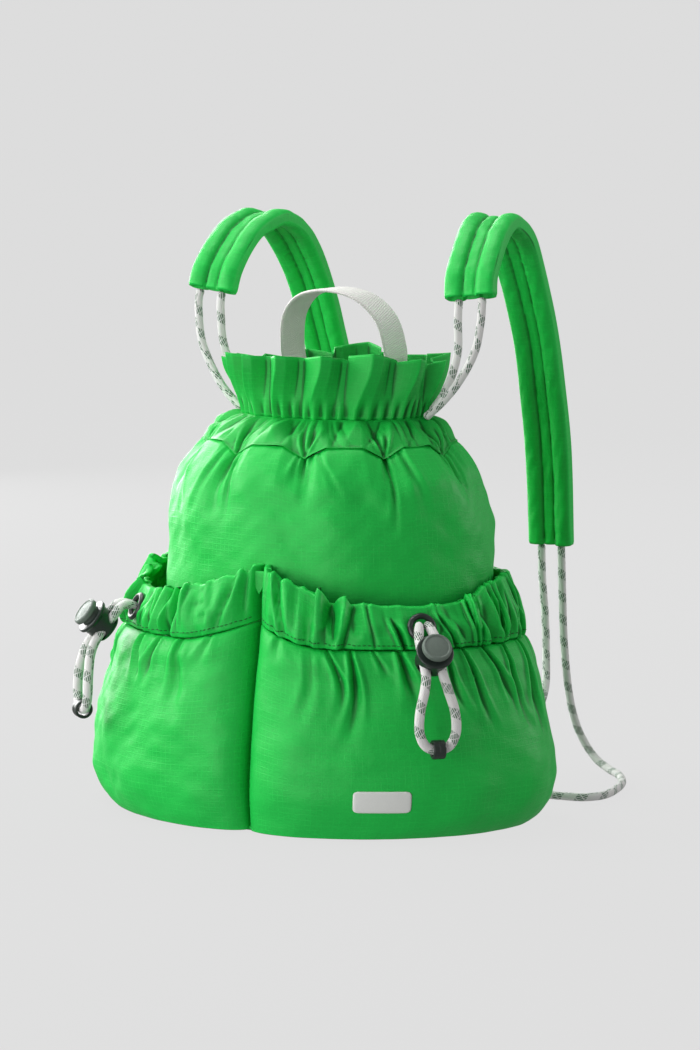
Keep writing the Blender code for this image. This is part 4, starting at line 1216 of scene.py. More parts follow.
class BACKPACK_OT_cords(bpy.types.Operator):
    """The toggle cords, the straps' cords, and the clips on the toggle cords"""

    bl_idname = "backpack.cords"
    bl_label = "Cords"

    def execute(self, context):
        for side, hand in SIDES:
            middle, across, out, up, _ = lock_frame(side)
            hole, face = grommet_place(side)
            halves = []
            for k in (1, -1):
                half = [hole + across * p[0] * k + face * p[1] for p in TOGGLE_CORD_EXIT]
                half += [middle + across * p[0] * k + out * p[1] + up * p[2] for p in TOGGLE_CORD_HALF]
                halves.append(half)
            low = TOGGLE_CORD_LOW
            lowest = middle + across * low[0] + out * low[1] + up * low[2]
            clip = self.clip(hand, lowest, across)
            route = halves[0] + [lowest] + halves[1][::-1]
            self.lay(f"toggle_cord_{hand}", route, CORD_RADIUS, "cord", "hanging", [clip],
                     TOGGLE_CORD_PINCH)
            strap_cord = STRAP_CORD_RADIUS, "strap_cord"
            for spot, points in UPPER_CORDS.items():
                self.lay(f"upper_cord_{spot}_{hand}", mirrored(points, side), *strap_cord, "hanging")
            self.lay(f"lower_cord_{hand}", mirrored(LOWER_CORD, side), *strap_cord, "loose")
        return {"FINISHED"}

    def lay(self, name, route, radius, material, lay, extra=(), pinched=1.0):
        """Make one cord."""
        piece, path, length = cord_tube(name, route, radius, material, pinched)
        radius * 2

    def clip(self, hand, place, across):
        """The short ring that closes a toggle cord's loop, with rounded edges and a mould line."""
        half = CLIP_LENGTH / 2
        profile = rounded([
            (CLIP_HOLE, 0.0), (CLIP_HOLE, -half), (CLIP_RADIUS, -half),
            (CLIP_RADIUS, -CLIP_GROOVE), (CLIP_RADIUS - CLIP_GROOVE, 0.0), (CLIP_RADIUS, CLIP_GROOVE),
            (CLIP_RADIUS, half), (CLIP_HOLE, half), (CLIP_HOLE, 0.0),
        ], 0.0007)
        return turned(f"clip_ring_{hand}", f"cord_clip_{hand}", profile, 48, place, across)


class BACKPACK_OT_base(bpy.types.Operator):
    """The oval base panel with its rolled edge"""

    bl_idname = "backpack.base"
    bl_label = "Base panel"

    def execute(self, context):
        angle = np.arange(BASE_COLUMNS) * 360.0 / BASE_COLUMNS
        pinch = 1 - BASE_PINCH * hump(nearest(angle), 0.0, BASE_PINCH_ANGLE)
        levels = [(0.0, share, 0.0, 1.0) for share in BASE_SHARES]
        levels += [(height, 1.0, inset, pinch) for height, inset in BASE_RIM]
        levels += [(BASE_THICKNESS, share, 0.0, 1.0) for share in BASE_SHARES[::-1]]
        rows = []
        for height, share, inset, narrowed in levels:
            sizes = [size * share - inset for size in (BASE_HALF_WIDTH, BASE_FRONT, BASE_BACK)]
            row = oval(*sizes, angle) * np.reshape(narrowed, (-1, 1))
            row[:, 2] = height
            rows.append(row)
        rows = np.stack(rows)
        closed = np.concatenate([rows, rows[:, :1]], axis=1)[:, :, :2]
        uv = np.concatenate([closed, closed[-1:]])
        piece = outward_faces(cloth_mesh("base_cloth", rows, uv, True), fill=True)
        finish_piece(piece, "trim", "base_panel")
        return {"FINISHED"}


def body_relief(angle, height, u, puff):
    """How far the body's cloth stands off its smooth form: scallops, gathers and soft waves."""
    top = yoke_height(angle)
    down = top - height
    radius = BODY_HALF_WIDTH * 0.8
    relief = ripples(u, height, 11, **BODY_WAVES) * smooth_step(0.0, 0.03, down)
    relief += ripples(u, height, 12, **BODY_CRINKLES) * (1 - smooth_step(0.03, 0.09, down) * 0.7)
    scallop = (1 - yoke_dip(angle)) * hump(down, 0.010, 0.011)
    relief *= 1 - smooth_step(160.0, 180.0, np.abs(angle - 360.0))
    relief += puff * scallop
    rng = np.random.default_rng(5)
    for dip in range(YOKE_DIPS):
        at = YOKE_DIP_ANGLE + 360.0 * dip / YOKE_DIPS
        for _ in range(3):
            start = at + rng.uniform(-10.0, 10.0)
            lean = rng.uniform(-0.35, 0.35) + (start - at) * 0.05
            length = rng.uniform(0.014, 0.048)
            width = rng.uniform(0.0011, 0.0024)
            depth = rng.uniform(AXIS_RADIUS, 0.0018)
            across = np.radians(nearest(angle - start)) * radius - lean * down
            relief += crease(across, down, length, width, depth)
        relief += crease(np.radians(nearest(angle - at)) * radius, down, 0.016, 0.0022, 0.0024)
    return relief - sunk(down, 0.0014, 0.0011)


class BACKPACK_OT_body(bpy.types.Operator):
    """The padded body: cloth that puffs between the gathers under the zig-zag yoke seam"""

    bl_idname = "backpack.body"
    bl_label = "Bag body"

    def execute(self, context):
        angle, t = shell_grid(480, np.linspace(0.0, 1.0, 124) ** 0.86)
        low = BASE_THICKNESS + 0.0004
        height = low + (YOKE_HEIGHT - low) * t
        sink = (yoke_height(angle) - YOKE_HEIGHT) * smooth_step(0.72, 1.0, t)
        smooth = body_points(angle, height)
        smooth[..., 2] += sink - 0.0004
        arc = np.radians(angle - 360.0) * BODY_HALF_WIDTH * 0.93
        puff = context.scene.backpack_sizes.body_puff
        relief = body_relief(angle, smooth[..., 2], arc, puff) * smooth_step(0.25, 0.5, t)
        outer = smooth + outward(angle) * relief[..., None]
        edge = smooth_step(0.93, 1.0, t) + smooth_step(0.42, 0.30, t)
        growth = smooth_step(0.70, 0.95, t)
        outer = settle(outer, np.clip(edge, 0, 1), growth, True, pressure=1.0, grow=0.10, cap=0.003)
        inner = body_points(angle[::-12], height[::-12], BODY_WALL)
        inner[..., 2] += sink[::-12]
        rows = np.concatenate([outer, inner])
        piece = cloth_mesh("body_cloth", rows, grid_uv(rows, True), True, round_rows=True)
        finish_piece(outward_faces(piece), "shell", "bag_body")
        return {"FINISHED"}


class BACKPACK_OT_yoke(bpy.types.Operator):
    """The gathered yoke from the zig-zag seam in to the cinched neck"""

    bl_idname = "backpack.yoke"
    bl_label = "Neck yoke"

    def execute(self, context):
        angle, t = shell_grid(560, np.linspace(0, 1, 44))
        inward = smooth_column(YOKE_SECTIONS, 1, 2, t)
        low = yoke_height(angle) - 0.0006
        height = low + (CINCH_HEIGHT - low) * t
        wide = body_points(angle, np.full_like(angle, YOKE_HEIGHT))
        neck = oval(NECK_HALF_WIDTH, NECK_HALF_DEPTH, NECK_HALF_DEPTH, angle)
        neck[..., 1] += NECK_SET_BACK
        outer = wide * (1 - inward[..., None]) + neck * inward[..., None]
        outer[..., 2] = height
        relief = 0.0014 * np.sin(math.pi * t) + 0.0010 * np.exp(-t / 0.05)
        swell = np.sin(math.pi * np.clip(t, 0, 1)) ** 0.7
        for folds, seed, depth, lean in ((19, 21, 0.0085, 13.0), (43, 25, 0.0060, 9.0)):
            relief += depth * sharp_folds(angle, t, folds, seed, lean) * (0.30 + 0.70 * t) * swell
        for dip in range(YOKE_DIPS):
            at = YOKE_DIP_ANGLE + 360.0 * dip / YOKE_DIPS
            for lean, depth in ((6.0, 0.0026), (-4.0, 0.0022)):
                across = np.radians(nearest(angle - at + lean * t)) * YOKE_RADIUS
                relief += crease(across, t, 0.95, 0.0013, depth) * smooth_step(0.0, 0.2, t)
        relief += ripples(np.radians(angle - 360.0) * YOKE_RADIUS, t * 0.02, 22, **YOKE_CRINKLES)
        relief *= 1 - 0.45 * smooth_step(0.92, 1.0, t)
        out = outward(angle)
        outer += out * relief[..., None] * 0.6
        outer[..., 2] += relief * 0.75 * (1 - t * 0.3)
        inner = outer[::-4] - out[::-4] * YOKE_WALL
        inner[..., 2] -= 0.0010
        rows = np.concatenate([outer, inner])
        piece = cloth_mesh("yoke_cloth", rows, grid_uv(rows, True), True, round_rows=True)
        finish_piece(outward_faces(piece), "trim", "neck_yoke")
        return {"FINISHED"}


class BACKPACK_OT_ruffle(bpy.types.Operator):
    """The frill: one layer of cloth in sharp pleats that open upwards"""

    bl_idname = "backpack.ruffle"
    bl_label = "Frill"

    def execute(self, context):
        rng = np.random.default_rng(7)
        widths = 1.0 + 0.35 * rng.uniform(-1.0, 1.0, RUFFLE_PLEATS)
        edges = np.concatenate([[0.0], np.cumsum(widths)]) * 360.0 / widths.sum()
        tall = rng.uniform(-0.09, 0.09, RUFFLE_PLEATS)
        deep = rng.uniform(0.7, 1.15, RUFFLE_PLEATS)
        steps = 44
        share = np.tile(np.arange(steps) / steps, RUFFLE_PLEATS)
        pleat = np.repeat(np.arange(RUFFLE_PLEATS), steps)
        angle = edges[pleat] + (edges[pleat + 1] - edges[pleat]) * share
        back = int(np.searchsorted(angle, 180.0))
        angle, share, pleat = (np.roll(values, -back) for values in (angle, share, pleat))
        stand = plain_column(PLEAT_STEPS, 1, 2, share) * deep[pleat]
        crest = np.interp(share, [0, 0.22, 1], [0, 1, 0])
        levels = 36
        rows = []
        for up in np.concatenate([[-0.06], np.linspace(0, 1, levels)]):
            tight = 1 - smooth_step(0.0, 0.45, up)
            fine = np.sin(np.radians(angle) * 47 + 1.5 * np.sin(np.radians(angle) * 5))
            pleated = 0.22 + 1.02 * smooth_step(0.0, 0.85, up)
            rise = max(up, 0)
            bow = 0.0012 * math.sin(math.pi * rise)
            out = RUFFLE_FLARE * rise**1.25 + RUFFLE_PLEAT * pleated * stand
            out = out + 0.0010 * tight * fine + bow
            if up < 0:
                out = out - 0.0016
            tip = 1.0 + tall[pleat] + 0.07 * crest - RUFFLE_SIDE_DROP * np.sin(np.radians(angle)) ** 2
            twist = angle + 3.0 * rise + 7.0 * crest * deep[pleat] * smooth_step(0.1, 0.9, up)
            ring = oval(NECK_HALF_WIDTH, NECK_HALF_DEPTH, NECK_HALF_DEPTH, twist)
            ring[:, 1] += NECK_SET_BACK
            turn = np.radians(twist)
            away = np.stack([np.sin(turn), -np.cos(turn), np.zeros_like(turn)], -1)
            row = ring + away * out[:, None]
            row[:, 2] = CINCH_HEIGHT + 0.0003 + RUFFLE_HEIGHT * up * (1 + (tip - 1) * rise**2)
            rows.append(row)
        rows = np.stack(rows)
        piece = cloth_mesh("ruffle_cloth", rows, grid_uv(rows, True), True)
        wall = piece.modifiers.new("Solidify", "SOLIDIFY")
        wall.thickness = RUFFLE_CLOTH
        wall.offset = -1.0
        bpy.context.view_layer.objects.active = piece
        bpy.ops.object.modifier_apply(modifier="Solidify")
        finish_piece(piece, "trim", "ruffle_collar")
        return {"FINISHED"}


def shell_sizes(sections, at):
    """A pocket's half width, front and back at a share of a table's height."""
    return [
        size * smooth_column(sections, 1, k, at)
        for size, k in ((POCKET_HALF_WIDTH, 2), (POCKET_FRONT, 3), (POCKET_BACK, 4))
    ]


def patch_nearness(angle, height, wide, high):
    """1 on the plain patch, 0 well away from it."""
    return np.exp(-(((angle - PATCH_ANGLE) / wide) ** 4) - ((height - PATCH_MIDDLE) / high) ** 4)


def wrap_columns(middle):
    """Angles round a pocket from the divider to its back end, closer together at both ends."""
    first = DIVIDER_ANGLE + 22.0 * np.linspace(0, 1, 34) ** 2.2
    last = POCKET_END_ANGLE - 18.0 * np.linspace(1, 0, 26) ** 2.0
    span = np.linspace(first[-1], last[0], middle + 2)[1:-1]
    return np.concatenate([first, span, last])


def pocket_puff(angle):
    """How far the pocket stands out of the body's surface: 0 where it is sewn, 1 between."""
    near = np.clip((angle - DIVIDER_ANGLE) / 21.0, 0, 1)
    far = np.clip((POCKET_END_ANGLE - angle) / 17.0, 0, 1)
    front = (1 - (1 - near) ** 2.3) ** (1 / 2.3)
    back = (1 - (1 - far) ** 2.1) ** (1 / 2.1)
    return front * back


def wrapped(angle, height, wide, front, back, wall, relief=0.0):
    """Points of a pocket's outer wall, on the wearer's right."""
    near = body_points(angle, height) + outward(angle) * SEWN_GAP
    out = oval(wide, front, back, angle)
    out[..., 2] = height
    away = out - near
    reach = np.linalg.norm(away, axis=-1)
    puff = pocket_puff(angle)
    stand = np.maximum(puff * reach, (wall + 0.0003) * np.minimum(1, puff * 4)) + relief * puff
    way = outward(angle) * (1 - puff[..., None]) + away / reach[..., None] * puff[..., None]
    way /= np.linalg.norm(way, axis=-1, keepdims=True)
    return near + way * stand[..., None]


def pocket_relief(angle, height, side, share=1.0):
    """How far a pocket's cloth stands off its smooth form."""
    down = seam_height(angle) - height
    u = np.radians(angle) * POCKET_RADIUS
    relief = ripples(u, height, 31 + side, **POCKET_WAVES) * smooth_step(0.0, 0.03, down)
    relief *= smooth_step(0.0, 0.02, height)
    relief += ripples(u, height, 41 + side, **POCKET_CRINKLES)
    relief += 0.0018 * hump(down, 0.007, 0.007)
    for at, length, width, depth, lean in POCKET_CREASES[side]:
        across = np.radians(angle - at) * POCKET_RADIUS - lean * down
        reach = length * (0.6 + 1.1 * abs(math.sin(at * 2.1)))
        bend = 0.004 * math.sin(at) * np.sin(down / length * 2.2)
        half_width = width * (0.45 + 0.3 * abs(math.cos(at)))
        relief += share * crease(across + bend, down, reach, half_width, depth)
    relief -= sunk(down, 0.0011, 0.0009)
    return relief * (1 - patch_nearness(angle, height, 10, 0.012) * (side > 0))


def strip_piece(name, node, outer, wall, side, thin):
    """Close a strip of outer rows with an inner wall, and put it on its side of the bag."""
    across = np.gradient(outer, axis=1)
    inward = np.stack([-across[..., 1], across[..., 0], np.zeros_like(across[..., 0])], -1)
    inward /= np.maximum(np.linalg.norm(inward, axis=-1, keepdims=True), 1e-9)
    inner = (outer + inward * wall)[::-thin]
    rows = mirrored(np.concatenate([outer, inner]), side)
    if side < 0:
        rows = rows[:, ::-1]
    piece = cloth_mesh(name, rows, grid_uv(rows, False), False, round_rows=True, caps=True)
    return finish_piece(outward_faces(piece), "shell", node)


class BACKPACK_OT_pockets(bpy.types.Operator):
    """The two padded pockets, from the base seam up to the casing seam"""

    bl_idname = "backpack.pockets"
    bl_label = "Pockets"

    def execute(self, context):
        share = context.scene.backpack_sizes.pocket_crease
        for side, hand in SIDES:
            angle, t = np.meshgrid(wrap_columns(210), np.linspace(0, 1, 92) ** 1.15)
            up = POCKET_SECTIONS[0][1] + (1 - POCKET_SECTIONS[0][1]) * t
            height = seam_height(angle) * up
            relief = pocket_relief(angle, height, side, share)
            outer = wrapped(angle, height, *shell_sizes(POCKET_SECTIONS, up), POCKET_WALL, relief)
            ends = np.minimum((angle - DIVIDER_ANGLE) / 6, (POCKET_END_ANGLE - angle) / 6)
            hold = 1 - np.clip(np.minimum(ends, np.minimum(t, 1 - t) * 18), 0, 1)
            patch = patch_nearness(angle, height, 11, 0.014) > 0.3
            hold = np.maximum(hold, patch * (side > 0))
            growth = 0.35 + 0.65 * smooth_step(0.55, 0.95, t)
            outer = settle(outer, hold, growth, False, pressure=1.2, grow=0.08, cap=0.0032)
            names = f"pocket_cloth_{hand}", f"pocket_{hand}"
            piece = strip_piece(*names, outer, POCKET_WALL, side, thin=8)
        return {"FINISHED"}


def gather_places(side):
    """Angles of the casing's gathers: at the pocket's creases, with more between."""
    places = [row[0] for row in POCKET_CREASES[side]]
    rng = np.random.default_rng(60 + side)
    extra = []
    at = DIVIDER_ANGLE + 3.0
    while at < POCKET_END_ANGLE - 5.0:
        if min(abs(at - place) for place in places) > 1.6:
            extra.append(at)
        at += rng.uniform(1.8, 7.5)
    return sorted(places + extra)


def casing_relief(angle, up, side, gather):
    """The casing's gathers: uneven folds with sharp valleys, which lean and fade out."""
    rng = np.random.default_rng(70 + side)
    relief = np.zeros_like(angle)
    for at in gather_places(side):
        strong = rng.uniform(0.25, 1.0) ** 1.3
        lean = rng.uniform(-5.5, 5.5)
        start, stop = rng.uniform(-0.5, 0.35), rng.uniform(0.6, 1.3)
        width = rng.uniform(0.0009, 0.0022)
        x = np.radians(angle - at - lean * (up - 0.5)) * CASING_RADIUS / width
        x = np.where(x > 0, x * rng.uniform(0.5, 0.9), x * rng.uniform(0.9, 1.6))
        reach = smooth_step(start - 0.2, start + 0.2, up)
        reach = reach * (1 - smooth_step(stop - 0.2, stop + 0.2, up))
        ridge = 0.62 * np.exp(-((np.abs(x) - 2.2) ** 2) / 2.4)
        relief += reach * gather * 1.25 * strong * (ridge - np.exp(-np.abs(x) ** 1.2))
    calm = 1 - np.exp(-((angle - GROMMET_ANGLE) / 5.2) ** 4)
    u = np.radians(angle) * CASING_RADIUS
    relief += ripples(u, up * 0.02, 75 + side, **CASING_CRINKLES)
    relief = relief * calm + 0.0012 * np.sin(math.pi * np.clip(up, 0, 1)) * calm
    return relief - sunk(up, 0.0008, 0.05)


def casing_surface(angle, up, side, gather):
    """Points of a casing's outer face, on the wearer's right."""
    low = seam_height(angle) + SEWN_GAP
    relief = casing_relief(angle, up, side, gather)
    wavy = casing_relief(angle, np.full_like(up, 0.8), side, gather)
    height = low + (rim_height(angle) - low + CASING_WAVE * wavy) * up
    return wrapped(angle, height, *shell_sizes(CASING_SECTIONS, up), CASING_WALL, relief)


class BACKPACK_OT_casings(bpy.types.Operator):
    """The elastic casings along the pockets' rims, with their gathers"""

    bl_idname = "backpack.casings"
    bl_label = "Pocket casings"

    def execute(self, context):
        gather = context.scene.backpack_sizes.casing_gather
        for side, hand in SIDES:
            columns = wrap_columns(330)
            angle, up = np.meshgrid(columns, np.linspace(0, 1, 40))
            outer = casing_surface(angle, up, side, gather)
            roll = []
            radius = CASING_WALL * 0.55
            for turn in np.radians([30, 60, 90]):
                top = outer[-1] - outward(columns) * radius * (1 - math.cos(turn))
                top[:, 2] += radius * math.sin(turn)
                roll.append(top)
            outer = np.concatenate([outer, np.stack(roll)])
            names = f"casing_cloth_{hand}", f"pocket_casing_{hand}"
            piece = strip_piece(*names, outer, CASING_WALL, side, thin=6)
        return {"FINISHED"}


def strap_frames(side, spacing=0.0016):
    """Places along a strap, with the ways across it and out of its face."""
    line = smooth_route(mirrored(STRAP_ROUTE, side), spacing)
    share = line[:, 3]
    points = line[:, :3]
    along = directions(points)
    across = np.array([1.0, 0.0, 0.0]) - along * along[:, :1]
    across /= np.linalg.norm(across, axis=1, keepdims=True)
    face = -np.cross(along, across)
    return points, along, across, face, share


class BACKPACK_OT_straps(bpy.types.Operator):
    """The padded straps: two soft tubes with a sewn channel between them"""

    bl_idname = "backpack.straps"
    bl_label = "Straps"

    def execute(self, context):
        for side, hand in SIDES:
            points, along, across, face, share = strap_frames(side)
            w = np.sin(np.linspace(-math.pi / 2, math.pi / 2, 60))
            crown = 0.36 + 0.64 * np.sqrt(np.clip(1 - ((np.abs(w) - 0.63) / 0.37) ** 2, 0, 1))
            crown = np.where(np.abs(w) < 0.25, 0.60 - 0.20 * (np.abs(w) / 0.25) ** 4, crown)
            length, wide = np.meshgrid(measured(points), w, indexing="ij")
            rows = []
            for k, seed in ((1, 81 + side), (-1, 91 + side)):
                flat = wide * STRAP_HALF_FLAT
                pucker = ripples(flat, length, seed, **STRAP_PUCKERS)
                pucker *= STRAP_PUCKER_DEPTH * (1 - smooth_step(0.85, 1.0, np.abs(wide)))
                folds = np.sin(length * math.tau / STRAP_SEAM_PUCKER_PITCH + 3 * wide)
                pucker += STRAP_SEAM_PUCKER_DEPTH * hump(np.abs(wide), 0.36, 0.12) * folds
                pucker += ripples(flat, length, seed + 5, **STRAP_WAVES)
                deep = STRAP_THICKNESS / 2 * crown[None, :] + pucker * (np.abs(wide) < 0.99)
                half = STRAP_WIDTH / 2 * share[:, None] * wide
                row = points[:, None] + across[:, None] * half[..., None]
                row = row + face[:, None] * (deep * k)[..., None]
                rows.append(row if k > 0 else row[:, ::-1])
            ring = np.concatenate([rows[0], rows[1]], axis=1)
            ends = []
            for i, way in ((0, 1), (-1, -1)):
                ends.append([
                    points[i] + (ring[i] - points[i]) * k + along[i] * way * d for k, d in STRAP_HEM
                ])
            rows = np.concatenate([np.stack(ends[0][::-1]), ring[1:-1], np.stack(ends[1])])
            piece = cloth_mesh(f"strap_cloth_{hand}", rows, self.uv(rows), True)
            finish_piece(outward_faces(piece, fill=True), "shell", f"strap_{hand}")
        return {"FINISHED"}

    def uv(self, rows):
        """UVs in metres round and along the strap."""
        first = rows[len(rows) // 2]
        around = measured(np.vstack([first, first[:1]]))
        along = measured(rows.mean(axis=1))
        return np.stack(np.meshgrid(around, np.append(along, along[-1])), -1)


class BACKPACK_OT_handle(bpy.types.Operator):
    """The webbing handle, with round firm edges"""

    bl_idname = "backpack.handle"
    bl_label = "Handle"

    def execute(self, context):
        route = [(-x, y, z) for x, y, z in HANDLE_ROUTE] + HANDLE_ROUTE[-2::-1]
        line = smooth_route(route, CORD_SPACING)
        along = directions(line)
        across = np.array([0.0, 1.0, 0.0]) - along * along[:, 1:2]
        across /= np.linalg.norm(across, axis=1, keepdims=True)
        face = np.cross(along, across)
        w = np.linspace(-1, 1, 26)
        edge = np.sqrt(np.clip(1 - np.clip((np.abs(w) - 0.93) / 0.07, 0, 1) ** 2, 0, 1))
        thick = HANDLE_THICKNESS / 2 * (0.12 + 0.88 * edge)
        rng = np.random.default_rng(3)
        fray = 1 + 0.006 * rng.uniform(-1, 1, len(line))
        half = HANDLE_WIDTH / 2 * w[None, :] * fray[:, None]
        middle = line[:, None] + across[:, None] * half[..., None]
        rise = face[:, None] * thick[None, :, None]
        rows = np.concatenate([middle + rise, (middle - rise)[:, ::-1]], axis=1)
        length = measured(line)
        length = np.append(length, length[-1])
        u = np.concatenate([w, 2 - w, [3.0]]) * HANDLE_WIDTH / 2
        piece = cloth_mesh("handle_webbing", rows, np.stack(np.meshgrid(u, length), -1), True)
        finish_piece(outward_faces(piece, fill=True), "webbing", "carry_handle")
        return {"FINISHED"}


class BACKPACK_OT_locks(bpy.types.Operator):
    """The cord locks, their buttons and the grommets"""

    bl_idname = "backpack.locks"
    bl_label = "Cord locks"

    def execute(self, context):
        for side, hand in SIDES:
            hole, face = grommet_place(side)
            ring = rounded([
                (GROMMET_HOLE * 0.80, 0.0), (GROMMET_RADIUS * 1.04, 0.0),
                (GROMMET_RADIUS * 1.04, GROMMET_THICKNESS * 0.6),
                (GROMMET_RADIUS * 0.90, GROMMET_THICKNESS * 1.30),
                (GROMMET_RADIUS * 0.76, GROMMET_THICKNESS * 1.25),
                (GROMMET_HOLE * 0.82, GROMMET_THICKNESS * 0.5), (GROMMET_HOLE * 0.80, 0.0),
            ], 0.0005)
            turned(f"grommet_ring_{hand}", f"grommet_{hand}", ring, 64, hole + face * SEWN_GAP, face)
            self.barrel(side, hand)
            self.button(side, hand)
        return {"FINISHED"}

    def barrel(self, side, hand):
        """The lock's barrel with its flange, its bore and the strands' holes."""
        middle, across, _, _, facing = lock_frame(side)
        top = LOCK_TOP
        bottom = top - LOCK_LENGTH
        floor = top - LOCK_BORE_DEPTH
        under = top - LOCK_FLANGE_THICKNESS
        profile = rounded([
            (AXIS_RADIUS, bottom), (LOCK_RADIUS * 0.80, bottom), (LOCK_RADIUS * 0.94, bottom + 0.0016),
            (LOCK_RADIUS * 0.94, under), (LOCK_FLANGE_RADIUS, under + 0.0003),
            (LOCK_FLANGE_RADIUS, top), (LOCK_BORE_RADIUS, top), (LOCK_BORE_RADIUS, floor),
            (AXIS_RADIUS, floor),
        ], 0.0007)
        barrel = turned(f"lock_barrel_{hand}", f"lock_body_{hand}", profile, 72, middle, facing)
        along = Vector(np.cross(across, facing))
        for k in (-0.5, 0.5):
            place = Vector(middle + across * LOCK_HOLE_SPACING * k + BASE)
            bpy.ops.object.select_all(action="DESELECT")
            bpy.ops.mesh.primitive_cylinder_add(
                vertices=36, radius=LOCK_HOLE_RADIUS, depth=LOCK_RADIUS * 3, location=place,
                rotation=along.to_track_quat("Z", "Y").to_euler())
            drill = bpy.context.object
            bpy.ops.object.select_all(action="DESELECT")
            bpy.context.view_layer.objects.active = barrel
            cut = barrel.modifiers.new("Hole", "BOOLEAN")
            cut.operation = "DIFFERENCE"
            cut.solver = "EXACT"
            cut.object = drill
            bpy.ops.object.modifier_apply(modifier="Hole")
            bpy.data.objects.remove(drill)
        barrel.data.set_sharp_from_angle(angle=SHARP_EDGE)

    def button(self, side, hand):
        """The push button: a dished plain top with a rounded rim, on its stem."""
        middle, _, _, _, facing = lock_frame(side)
        head = LOCK_TOP + BUTTON_RISE
        top = head + BUTTON_THICKNESS
        profile = rounded([
            (AXIS_RADIUS, LOCK_TOP - STEM_ENGAGED), (STEM_RADIUS, LOCK_TOP - STEM_ENGAGED),
            (STEM_RADIUS, head), (BUTTON_RADIUS, head), (BUTTON_RADIUS, top - 0.0008),
            (BUTTON_RADIUS * 0.90, top - 0.0001), (BUTTON_RADIUS * 0.82, top - 0.0001),
            (BUTTON_RADIUS * 0.78, top - 0.0005), (BUTTON_RADIUS * 0.70, top - 0.0004),
            (BUTTON_RADIUS * 0.35, top - 0.0001), (AXIS_RADIUS, top),
        ], 0.0004)
        turned(f"lock_cap_{hand}", f"lock_button_{hand}", profile, 72, middle, facing,
               material="button", body=f"button_{hand}")


class BACKPACK_OT_trims(bpy.types.Operator):
    """The plain patch, the sewn triangle between the pockets and the cord tabs"""

    bl_idname = "backpack.trims"
    bl_label = "Trims"

    def execute(self, context):
        self.patch()
        self.tack()
        for _, hand in SIDES:
            tab = frame["nodes"][f"cord_tab_{hand}"]
            tab.data.materials.clear()
            tab.data.materials.append(self.tab_webbing())
        return {"FINISHED"}

    def tab_webbing(self):
        """Webbing for a plain node, which has no UVs in metres."""
        finish = Finish("tab webbing", Specular_IOR_Level=0.25)
        spot = finish.place("Object")
        x, _, _ = finish.parts(spot)
        fuzz = finish.noise(spot, 900.0, 3.0)
        ribs = finish.wave(x, 0.0011)
        colour = tuple(bpy.context.scene.backpack_colours.webbing)
        finish.feed(Base_Color=finish.mix(0.5 * ribs + 0.5 * fuzz, shade(colour, 0.82), colour),
                    Roughness=0.8 + 0.1 * fuzz)
        finish.bump(0.6 * ribs + 0.4 * fuzz, 0.0003, 0.7)
        return finish.material

    def patch(self):
        """A plain patch with round corners, bonded low on the right pocket."""
        across, up = np.meshgrid(np.linspace(-1, 1, 41), np.linspace(-1, 1, 25))
        half_w, half_h = PATCH_WIDTH / 2, PATCH_HEIGHT / 2
        into = np.clip((np.abs(up) * half_h - half_h + PATCH_CORNER) / PATCH_CORNER, 0, 1)
        trim = PATCH_CORNER * (1 - np.sqrt(np.clip(1 - into**2, 0, 1)))
        height = PATCH_BOTTOM + half_h + up * half_h
        angle = PATCH_ANGLE + np.degrees(across * (half_w - trim) / (POCKET_HALF_WIDTH * 0.86))
        sizes = shell_sizes(POCKET_SECTIONS, height / seam_height(angle))
        relief = pocket_relief(angle, height, 1)
        edge = np.clip(np.minimum(1 - np.abs(across), 1 - np.abs(up)) * 8, 0, 1)
        face, back = [
            wrapped(angle, height, *sizes, POCKET_WALL, relief + lift)
            for lift in (0.0004 + 0.00035 * edge**0.5, 0.0002)
        ]
        rows = np.concatenate([face, back[::-1]])
        uv = np.zeros((len(rows) + 1, rows.shape[1] + 1, 2))
        piece = cloth_mesh("plain_patch_print", rows, uv, False, round_rows=True, caps=True)
        finish_piece(outward_faces(piece), "patch", "plain_patch")

    def tack(self):
        """The small triangle that joins the two casings at the front."""
        top = float(rim_height(np.array(0.0))) - 0.0006
        rows = []
        for lift in (0.0072, 0.0062):
            for up in np.linspace(0, 1, 10):
                x = np.linspace(-1, 1, 19) * TACK_HALF_WIDTH * max(up, 0.04)
                height = np.full_like(x, top - TACK_HEIGHT * (1 - up))
                row = body_points(np.zeros_like(x), height)
                row[:, 0] = x
                row[:, 1] -= lift + 0.0004 * np.cos(x / TACK_HALF_WIDTH * math.pi / 2)
                rows.append(row)
        rows = np.stack(rows[:10] + rows[10:][::-1])
        uv = np.zeros((len(rows) + 1, rows.shape[1] + 1, 2))
        uv[:-1, :-1] = rows[..., [0, 2]]
        piece = cloth_mesh("divider_triangle", rows, uv, False, round_rows=True, caps=True)
        finish_piece(outward_faces(piece), "trim", "divider_tack")


